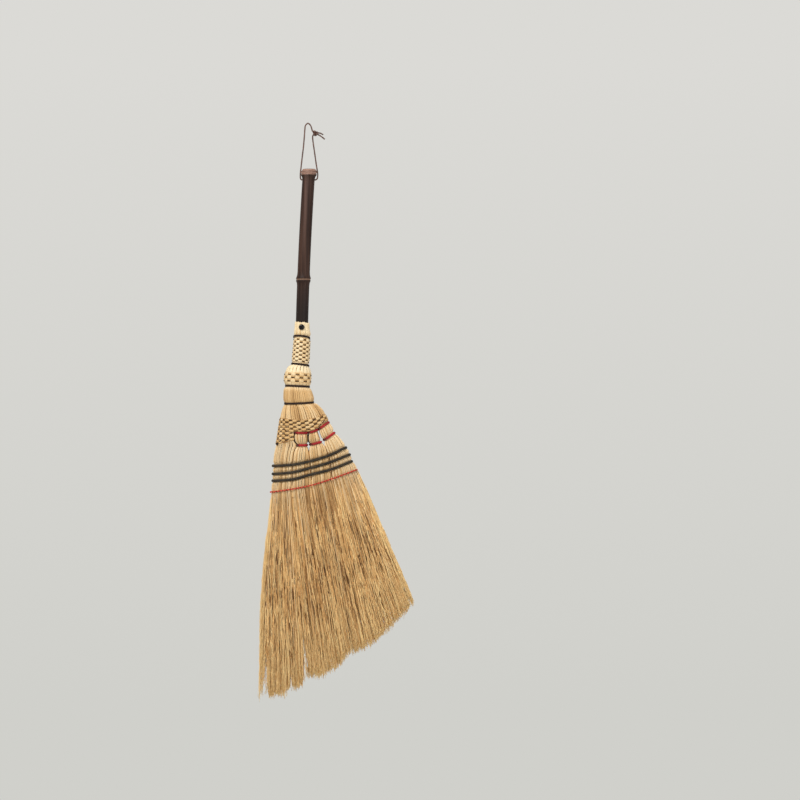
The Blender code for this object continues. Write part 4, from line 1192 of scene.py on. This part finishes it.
def tiedShape(name, d):
    # How far the ties draw a bundle's sides in, and the share of its depth that they leave.
    upper, lower = downs["upperTie"], downs["lowerTie"]
    points, _, _ = formAt(np.array([lower]), head["sharp"])
    left, right = acrossPoints(points, np.array([bundles[name]["span"]]))[0]
    high = tie["upperSqueeze"][name]
    low = tie["squeeze"] + np.linalg.norm(right - left) * (1 - tie["lowerShare"]) / 2
    valley, flat = tie["valley"], tie["depthShare"]
    # places down the head, how far the sides are drawn in there, and the share of the depth
    places, draws, shares = zip(
        (upper - 0.0040, tie["gap"], 1.0), (upper - valley, high, flat), (upper + valley, high, flat),
        (upper + 0.0046, 0.0007, 0.99), ((upper + lower) / 2, tie["barrel"], 1.02),
        (lower - 0.0046, 0.0007, 0.99), (lower - valley, low, flat), (lower + valley, low, flat),
        (lower + 0.0046, 0.0011, 0.96), (lower + 0.0100, tie["gap"], 1.0),
    )
    return smoothed(np.interp(d, places, draws)), smoothed(np.interp(d, places, shares))


def bundleRings(name, d, extra=0.0):
    left = right = np.full(len(d), tie["gap"])
    share = np.ones(len(d))
    if name == "left_1":
        right = left - tie["overlap"]
    elif name == "left_2":
        # The untied stalks lean over the narrow places of the bundle beside them.
        beside, _ = tiedShape("a", d)
        right = left - tie["lean"] * (beside - tie["gap"]) - tie["leanOver"]
        left = left - tie["overlap"]
    else:
        drawn, share = tiedShape(name, d)
        middle = (downs["upperTie"] + downs["lowerTie"]) / 2
        barrel = np.clip(1 - (np.abs(d - middle) / tie["barrelHalf"]) ** 2, 0, 1)
        left, right = (drawn + barrel * opening for opening in tie["openSeam"].get(name, (0.0, 0.0)))
    return outline(
        d, *bundles[name]["span"], squeeze=(left, right), depthShare=share, pillow=tie["pillow"],
        inset=sinkAt(d) + extra, reach=head["strawSoft"], count=26,
    )


stem = {
    "fine": 0.00115, "coarse": 0.011, "sides": 7, "seed": 60, "reach": (0.30, 0.85),
    "underReach": (0.35, 0.6), "deepest": 0.0022, "drift": 0.0013, "sunk": 0.0006, "looseSunk": 0.0008,
    "underFewer": 8, "underIn": 0.0013, "underFill": 1.05, "coreIn": 0.0018,
    "tones": (0.15, 1.0), "underShadeTones": (-0.10, 0.35), "duller": 0.25, "sidePaler": 0.4,
    # pale: the painted highlight where the stalks bend out below the lower tie, how far below it, and over
    # what reach
    "pale": 0.22, "highlightDrop": 0.005, "highlightReach": 0.009, "thick": 0.85,
    # how much thinner a stalk gets just below the red row and then towards its end
    "thinner": 0.22, "thinReach": 0.06, "taper": 0.42, "taperPower": 1.2, "driftDeep": 0.3,
}


def outerSide(name, shares):
    # 1 at the outer edge of the head and 0 away from it, for places round a bundle's outline.
    s0, s1 = bundles[name]["span"]
    facing = np.cos(2 * np.pi * shares)
    toward = facing if s0 == 0 else -facing if s1 == 4 else facing * 0
    return np.clip(toward, 0, 1) ** 4


def stems(name, count, reach, dice, tones, extra=0.0, fill=1.0, duller=0.0):
    # A bundle's stalks, from under the weave down into the loose straw, where each one ends.
    red = downs["red"]
    d = np.concatenate([
        np.arange(downs["seam"] + 0.001, red + 0.004, stem["fine"]),
        np.arange(red + 0.004, downs["tips"], stem["coarse"]),
    ])
    fan = fanAt(d)
    shares, widthShares = handLaid(count, dice)
    places, lengths = placesAt(bundleRings(name, d, extra), shares)
    outward = outwardOf(places)
    widest = lengths[np.searchsorted(d, downs["navy3"])]
    widths = np.minimum(lengths, widest)[:, None] * widthShares * fill
    made = []
    out = []
    wide = []
    for k, end in enumerate(dice.uniform(*reach, count)):
        own = np.where(d > red, red + (d - red) * end, d)
        made.append(readAt(own, d, places[:, k]))
        out.append(readAt(own, d, outward[:, k]))
        wide.append(np.interp(own, d, widths[:, k]))
    thinner = stem["thinner"] * np.clip(fan / stem["thinReach"], 0, 1)
    wide = np.array(wide) * (1 - thinner - stem["taper"] * fan ** stem["taperPower"])
    depths = np.minimum(wide * stem["thick"], stem["deepest"])
    drift = dice.normal(0, stem["drift"], (count, 2, 1)) * fan
    sunk = dice.uniform(0, stem["sunk"], count)[:, None] + stem["looseSunk"] * fan
    made = np.array(made) - np.array(out) * (depths / 2 + sunk)[..., None]
    made[..., 0] += drift[:, 0]
    made[..., 1] += drift[:, 1] * stem["driftDeep"]
    # A painted highlight where the stalks bend out just below the lower tie.
    bendHighlight = np.exp(-((d - downs["lowerTie"] - stem["highlightDrop"]) / stem["highlightReach"]) ** 2)
    tones = tones[:, None] + stem["pale"] * bendHighlight - duller * np.clip(fan / 0.2, 0, 1)
    tones = tones + stem["sidePaler"] * outerSide(name, shares)[:, None]
    return sweptMesh(made, np.array(out), wide, depths, circleProfile(stem["sides"]), tones=tones)


def makeBundles():
    for number, (name, bundle) in enumerate(bundles.items()):
        dice = np.random.default_rng(stem["seed"] + number)
        count = bundle["stalks"]
        tones = dice.uniform(*stem["tones"], count) + bundle["light"]
        outer = stems(name, count, stem["reach"], dice, tones, duller=stem["duller"])
        count -= stem["underFewer"]
        # The under stalks are painted darker, as shade beneath the outer ones.
        tones = dice.uniform(*stem["underShadeTones"], count)
        under = stems(name, count, stem["underReach"], dice, tones, stem["underIn"], stem["underFill"])
        addPiece("bundle_" + name, joinMeshes([outer, under]), "stalk", ["stalks_" + name])
        shrunkCopy("stalks_" + name, stem["coreIn"], "core_" + name)


makeBundles()


def makeTies():
    for name in ("a", "b", "c"):
        for place in ("upper", "lower"):
            at = downs[place + "Tie"]
            # the middle one of seven rings, because rings are smoothed with their neighbours
            ring = bundleRings(name, np.arange(at - 0.0018, at + 0.0019, 0.0006))[3]
            left = ring[:, 0].min()
            dark = tie["darkShare"] * np.ptp(ring[:, 0])
            mesh = cordRing(
                ring, tie["plies"], tie["ply"], tie["lay"], tie["lift"],
                toneAt=lambda path: np.clip(1.4 - (path[:, 0] - left) / dark, 0, 0.9),
            )
            addPiece(f"red_tie_{name}_{place}", mesh, "red", [f"tie_{name}_{place}"])
        top, end = downs["upperTie"] - tie["linkAbove"], downs["lowerTie"] + tie["linkBelow"]
        rings = bundleRings(name, np.linspace(top, end, tie["linkRings"]))
        side = -3 if name == "c" else 2  # place on each ring where the cord runs down
        path = rings[:, side] + outwardOf(rings)[:, side] * tie["linkLift"]
        path = smoothRoute(path, tie["linkStep"])
        lines, normals = twisted(path, (-1, -1, 0), 2, tie["linkPly"], tie["linkLay"])
        mesh = sweptMesh(lines, normals, tie["linkPly"], tie["linkPly"], circleProfile(8))
        addPiece(f"link_{name}", mesh, "black", [f"link_cord_{name}"])


makeTies()


def tickShadowTones(path):
    # Painted shadow between the turns of the cord: a dark tick at every stitch along it.
    reach = np.cumsum(np.linalg.norm(path - np.roll(path, 1, 0), axis=1))
    return np.clip(np.cos(reach * 2 * math.pi / rowCords["red"]["shadowTicks"]) * 2 - 0.6, 0, 1)


def makeRowCords():
    for name, cord in rowCords.items():
        at = np.array([downs[name]])
        inset = cord["sink"] - rowLay["proud"]
        ring = outline(at, inset=inset, squeeze=cord["ends"], reach=rowLay["soft"], count=80)[0]
        mesh = cordRing(
            ring, cord["plies"], cord["ply"], cord["lay"], cord["ply"] * rowLay["lift"], rowLay["step"],
            rowLay["sides"], tickShadowTones if "shadowTicks" in cord else None,
        )
        addPiece(name + "_stitches", mesh, cord["look"], [cord["node"]])


makeRowCords()

bead = {"size": (0.0034, 0.00272, 0.0034), "thread": 0.0013, "shift": (-0.0010, 0.0026, 0.0016)}


def makeBead():
    low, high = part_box("weave_knot")
    middle = np.array((low + high) / 2) + bead["shift"]
    mesh = knotMesh(trefoil(bead["size"]) + middle, bead["thread"], 8)
    addPiece("thread_knot", mesh, "black", ["weave_knot"])


makeBead()

print("stage: bristles")

fibre = {
    # branchlets of each flower head, by where it stands, and how they gather in wisps
    "each": {"face": 52, "inner": 18, "side": 26}, "wisp": 3, "spread": 0.06, "wispSpread": 0.007,
    "headJitter": 0.15, "headReach": 1.35, "faceIn": 0.94, "innerDeep": 0.5,
    "sideHeads": (-0.6, -0.36, -0.12, 0.12, 0.36, 0.6), "sideIn": 0.05,
    # where they start and end, as shares of the loose straw
    "highShare": 0.42, "highStart": (-0.03, 0.20), "lowStart": (0.04, 0.72), "startJitter": 0.02,
    "starts": {"side": (0.05, 0.70), "inner": (-0.12, -0.04)}, "edgeBand": 0.3, "edgeStart": 0.035,
    "ragged": 0.0022, "wispRagged": 0.0034, "innerShort": (0.0, 0.10), "shortShare": 0.2,
    "shortEnd": (0.5, 0.93), "stations": 20, "crinkle": 0.0005, "tipsIn": 0.95, "astray": 0.10,
    "margin": 0.014, "innerMargin": 0.10, "footIn": 0.86, "footSpread": 0.25, "innerEnds": (-0.75, 0.75),
    "footReach": 0.25, "sunk": 0.0005, "ownCrinkle": 0.6, "crinkleDeep": 0.7,
    "thick": (0.0007, 0.0013), "innerThick": (0.0011, 0.0017), "edgeThick": 0.65, "thinner": 0.6,
    "thinBelow": 0.12, "thinAbove": 3.96, "thinShort": 0.9,
    "wispTones": (0.22, 0.77), "innerTones": (0.50, 0.74), "toneNoise": 0.34, "edge": 0.10, "edgePaler": 0.75,
    # shading: painted shading down the loose straw, darker near the rows and in the middle, paler towards the
    # tips
    "shading": [(0.0, -0.15), (0.3, -0.21), (0.55, -0.14), (1.0, 0.40)], "looseFade": 0.5, "seed": 90,
    "fillers": 16, "fillerStart": 0.008, "seamStart": 0.004, "fillerJitter": 0.004, "fillerEnd": 0.10,
    "fillerSpread": 0.05, "fillerDeep": 0.7, "fillerShadeTones": (0.1, 0.4),
    # places across, starts, half widths and how far each slit parts the straw beside it
    "slits": [
        (0.125, 0.70, 0.066, 0.05), (0.58, 0.88, 0.024, 0.05), (0.895, 0.70, 0.088, 0.10),
        (1.30, 0.92, 0.014, 0.04), (2.05, 0.94, 0.012, 0.04), (2.37, 0.90, 0.020, 0.03),
        (3.93, 0.30, 0.022, 0.03),
    ],
    # places across, and how much longer the straw is there
    "tipEdge": [
        (0.0, 0.001), (0.10, -0.007), (0.20, 0.005), (0.46, 0.006), (0.54, 0.001), (0.70, 0.004),
        (0.84, 0.003), (0.88, -0.006), (1.00, -0.005), (1.15, 0.002), (1.50, 0.001), (1.90, 0.002),
        (2.20, -0.006), (2.45, -0.006), (2.70, -0.004), (3.10, 0.0), (3.50, 0.002), (3.80, 0.003),
        (3.93, 0.003), (4.0, -0.003),
    ],
}


def slitShift(s, fan):
    # Straw parts to both sides of each slit, the more the nearer it is.
    shift = np.zeros_like(s)
    for middle, start, half, reach in fibre["slits"]:
        away = s - middle
        opening = half * np.clip((fan - start) / (1 - start), 0, 1)
        shift += np.where(away < 0, -1, 1) * opening * np.exp(-np.abs(away) / reach)
    return shift


def fibrePlaces(s, f, d):
    # World places of straw at s across, f of the way to the front or back face, and d down.
    flatS, flatD = s.reshape(-1, 1), d.reshape(-1)
    points, half, edge = formAt(np.minimum(flatD, downs["tips"]), head["strawSoft"])
    at = acrossPoints(points, np.clip(flatS, 0.004, 3.996))[:, 0]
    deep = depthAt(half, edge, np.clip(flatS, 0, 4))[:, 0] - sinkAt(flatD) - fibre["sunk"]
    x = at[:, 0] + bowAt(flatD, flatS[:, 0])
    z = at[:, 1] - (flatD - downs["tips"]).clip(0, 1)  # straight down past the last row
    return np.stack([x, deep * f.reshape(-1), z], 1).reshape(*d.shape, 3)


def headSpots(name, dice):
    # Where the flower heads stand: front and back faces, the inside and the head's own two edges.
    s0, s1 = bundles[name]["span"]
    count = bundles[name]["heads"]
    spots = []
    faceIn, deep = fibre["faceIn"], fibre["innerDeep"]
    for face, kind in ((-faceIn, "face"), (faceIn, "face"), (0.0, "inner")):
        jitter = dice.uniform(-0.5, 0.5, count) * fibre["headJitter"]
        s = s0 + (s1 - s0) * (np.arange(count) + 0.5 + jitter) / count
        f = np.full(count, face) if face else dice.uniform(-deep, deep, count)
        spots.append((s, f, kind))
    for side, inward in ((0.0, 1), (4.0, -1)):
        if side in (s0, s1):
            f = np.array(fibre["sideHeads"])
            spots.append((np.full(len(f), side + inward * fibre["sideIn"]), f, "side"))
    return spots


def fibreMesh(centres, thick, tones):
    return sweptMesh(centres, (0.3, -1.0, 0.1), thick, thick, circleProfile(3), tones=tones)


def branchlets(name, s, f, kind, dice):
    # The fine straw of the flower heads at s across and f of the way to the front or back face.
    inner = kind == "inner"
    s0, s1 = bundles[name]["span"]
    length = downs["tips"] - downs["red"]
    own = np.repeat(np.arange(len(s)), fibre["each"][kind])
    count = len(own)
    wisp = np.arange(count) // fibre["wisp"]  # fibres that hang together
    wisps = wisp[-1] + 1
    high = dice.random(wisps) < fibre["highShare"]
    start = np.where(high, dice.uniform(*fibre["highStart"], wisps), dice.uniform(*fibre["lowStart"], wisps))
    if kind in fibre["starts"]:
        start = dice.uniform(*fibre["starts"][kind], wisps)
    start = start[wisp] + dice.uniform(-fibre["startJitter"], fibre["startJitter"], count)
    off = dice.normal(0, fibre["spread"], wisps)[wisp] + dice.normal(0, fibre["wispSpread"], count)
    beside = s[own] + dice.uniform(-0.5, 0.5, wisps)[wisp] * (s1 - s0) / len(s) * fibre["headReach"]
    margin = fibre["innerMargin" if inner else "margin"]
    foot = np.clip(beside + off, margin, 4 - margin)
    fromEdge = np.minimum(foot, 4 - foot)
    if kind == "face":
        start = np.where(fromEdge < fibre["edgeBand"], np.maximum(start, fibre["edgeStart"]), start)
    end = 1 + dice.normal(0, fibre["wispRagged"], wisps)[wisp] / length
    end = end - np.abs(dice.normal(0, fibre["ragged"], count)) / length
    short = dice.random(count) < np.where(foot < fibre["thinBelow"], fibre["thinShort"], fibre["shortShare"])
    end = np.where(short, start + (1 - start) * dice.uniform(*fibre["shortEnd"], count), end)
    end = end + np.interp(foot, *zip(*fibre["tipEdge"])) / length
    if inner:
        end = end - dice.uniform(*fibre["innerShort"], count)
    t = np.linspace(0, 1, fibre["stations"])
    fan = start[:, None] + (end - start)[:, None] * t
    across = beside[:, None] + off[:, None] * np.interp(fan, (0, 1), (fibre["footSpread"], 1))
    across = np.clip(across, margin, 4 - margin)
    across = across + slitShift(across, fan) * (dice.random(wisps) > fibre["astray"])[wisp][:, None]
    faceEnd = np.sign(f[own]) * (1 - fibre["tipsIn"] * dice.random(wisps)[wisp] ** 1.1)
    if kind != "face":
        faceEnd = dice.uniform(*fibre["innerEnds"], count)
    face = f[own][:, None] * np.interp(fan, (0, fibre["footReach"]), (fibre["footIn"], 1))
    depth = face * (1 - t) + faceEnd[:, None] * t  # the tips lie anywhere between the two faces
    kinks = dice.normal(0, fibre["crinkle"], (wisps, len(t), 2))[wisp]
    kinks = kinks + dice.normal(0, fibre["crinkle"] * fibre["ownCrinkle"], (count, len(t), 2))
    kinks = (kinks + np.roll(kinks, 1, 1)) * np.minimum(t * 4, 1)[:, None]
    centres = fibrePlaces(across, depth, downs["red"] + fan * length)
    centres[..., :2] += kinks * (1, fibre["crinkleDeep"])
    thick = dice.uniform(*fibre["innerThick" if inner else "thick"], (count, 1))
    thick = thick * (1 - fibre["thinner"] * t ** 1.5)
    edge = (foot < fibre["thinBelow"]) | (foot > fibre["thinAbove"])
    thick = thick * np.where(edge, fibre["edgeThick"], 1)[:, None]
    if inner:
        tones = dice.uniform(*fibre["innerTones"], count)
    else:
        tones = dice.uniform(*fibre["wispTones"], wisps)[wisp] + dice.normal(0, fibre["toneNoise"], count)
        tones = tones + fibre["edgePaler"] * np.clip(1.3 - fromEdge / fibre["edge"], 0, 1)
    # painted shading down the fan
    tones = tones[:, None] + np.interp(fan, *zip(*fibre["shading"]))
    tones = tones + np.interp(fan, (0, fibre["looseFade"]), bundles[name]["loose"])
    return fibreMesh(centres, thick, tones)


def fillerStraw(name, dice):
    # Straw behind the seams between this bundle and the next ones, painted dark as the shade in the seams.
    sides = [side for side in bundles[name]["span"] if 0 < side < 4]
    seam = np.repeat(sides, fibre["fillers"])
    count = len(seam)
    across = seam + dice.uniform(-fibre["fillerSpread"], fibre["fillerSpread"], count)
    high, low = downs["seam"] + fibre["seamStart"], downs["lowerTie"] + fibre["fillerStart"]
    start = np.where(seam > 1.5, low, high)
    start = start + dice.uniform(0, fibre["fillerJitter"], count)
    t = np.linspace(0, 1, fibre["stations"])
    d = start[:, None] + (downs["red"] + fibre["fillerEnd"] - start)[:, None] * t
    depth = np.repeat(dice.uniform(-fibre["fillerDeep"], fibre["fillerDeep"], (count, 1)), len(t), 1)
    centres = fibrePlaces(across[:, None] + 0 * d, depth, d)
    return fibreMesh(centres, fibre["innerThick"][1], dice.uniform(*fibre["fillerShadeTones"], count))


def makeFibres():
    for number, name in enumerate(bundles):
        dice = np.random.default_rng(fibre["seed"] + number)
        meshes = [branchlets(name, *spots, dice) for spots in headSpots(name, dice)]
        meshes.append(fillerStraw(name, dice))
        addPiece("fibres_" + name, joinMeshes(meshes), "bristle", ["bristles_" + name])


makeFibres()

print("stage: finish")
